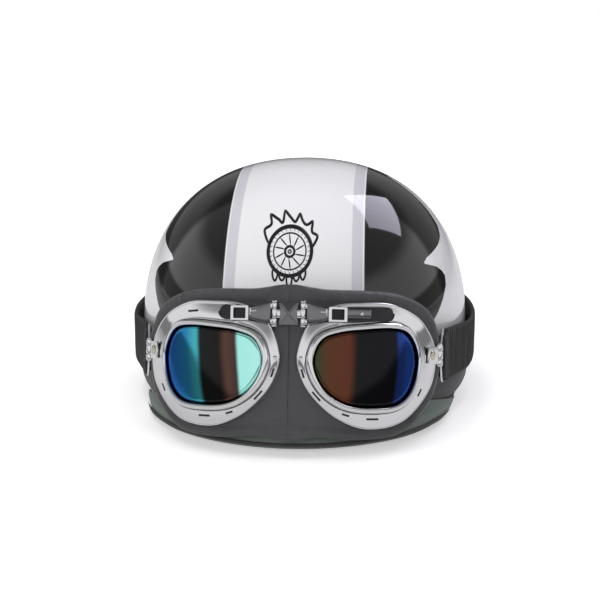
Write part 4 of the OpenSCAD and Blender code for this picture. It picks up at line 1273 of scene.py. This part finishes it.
world = bpy.data.worlds.new("studio")
bpy.context.scene.world = world
world.use_nodes = True
nt = world.node_tree
for n in list(nt.nodes):
    nt.nodes.remove(n)
seen = node(nt, "ShaderNodeLightPath").outputs["Is Camera Ray"]
sep = node(nt, "ShaderNodeSeparateXYZ")
link(nt, node(nt, "ShaderNodeTexCoord").outputs["Generated"], sep.inputs[0])

# brightness of the studio's sides: each goes softly from one value to another between two directions
behind = fraction(nt, sep.outputs[1], 0.50, 0.60, 1.0, 0.28, 'SMOOTHSTEP')
roof = fraction(nt, sep.outputs[2], 0.42, 0.60, 1.0, 0.32, 'SMOOTHSTEP')
tilt = maths(nt, 'ABSOLUTE', maths(nt, 'SUBTRACT', sep.outputs[2], 0.05))
skirt = fraction(nt, tilt, 0.05, 0.09, 0.25, 1.0, 'SMOOTHSTEP')
level = maths(nt, 'MULTIPLY', maths(nt, 'MULTIPLY', behind, roof), skirt)
shade = colour_mix(nt, level, (0.0, 0.0, 0.0), (0.97, 0.97, 0.98))
room = put(nt, node(nt, "ShaderNodeBackground"), Color=shade, Strength=0.86)
white = put(nt, node(nt, "ShaderNodeBackground"), Color=(1, 1, 1, 1), Strength=1.0)
pick = node(nt, "ShaderNodeMixShader")
for sock, value in zip(pick.inputs, (seen, room.outputs[0], white.outputs[0])):
    link(nt, value, sock)
link(nt, pick.outputs[0], node(nt, "ShaderNodeOutputWorld").inputs[0])


def softbox(name, at, aim, size, power, colour=(1, 1, 1), mirrored=False):
    d = bpy.data.lights.new(name, 'AREA')
    d.shape = 'RECTANGLE'
    d.size, d.size_y = size
    d.energy = power
    d.color = colour
    o = bpy.data.objects.new(name, d)
    bpy.context.collection.objects.link(o)
    o.location = at
    o.rotation_euler = (Vector(aim) - Vector(at)).to_track_quat('-Z', 'Y').to_euler()
    o.visible_glossy = mirrored


softbox("top softbox", (-0.3, -0.2, 1.7), (0, 0, 0.08), (1.3, 1.0), 12.5)
softbox("front softbox", (-0.9, -1.7, 0.7), (0, 0, 0.08), (1.1, 0.9), 6)
softbox("back softbox", (0.2, 1.6, 0.9), (0, 0, 0.10), (1.2, 0.8), 5)
softbox("window", (0.56, 0.42, 0.88), (0.058, -0.07, 0.148), (0.56, 0.40), 2.4, (0.86, 0.84, 1.0), True)

cam = bpy.data.cameras.new("camera")
cam.lens = 81
cam.sensor_width = 36
camera = bpy.data.objects.new("camera", cam)
bpy.context.collection.objects.link(camera)
az_, el_, far_ = math.radians(4), math.radians(13), 1.05
aim = Vector((-0.0039, HOME * MM, 0.0668))
from_aim = Vector((sin(az_) * cos(el_), -cos(az_) * cos(el_), sin(el_)))
camera.location = Vector((0, HOME * MM, 0.080)) + far_ * from_aim
camera.rotation_euler = (aim - camera.location).to_track_quat('-Z', 'Y').to_euler()
cam.clip_end = 20
bpy.context.scene.camera = camera
bpy.context.scene.view_settings.view_transform = 'Standard'
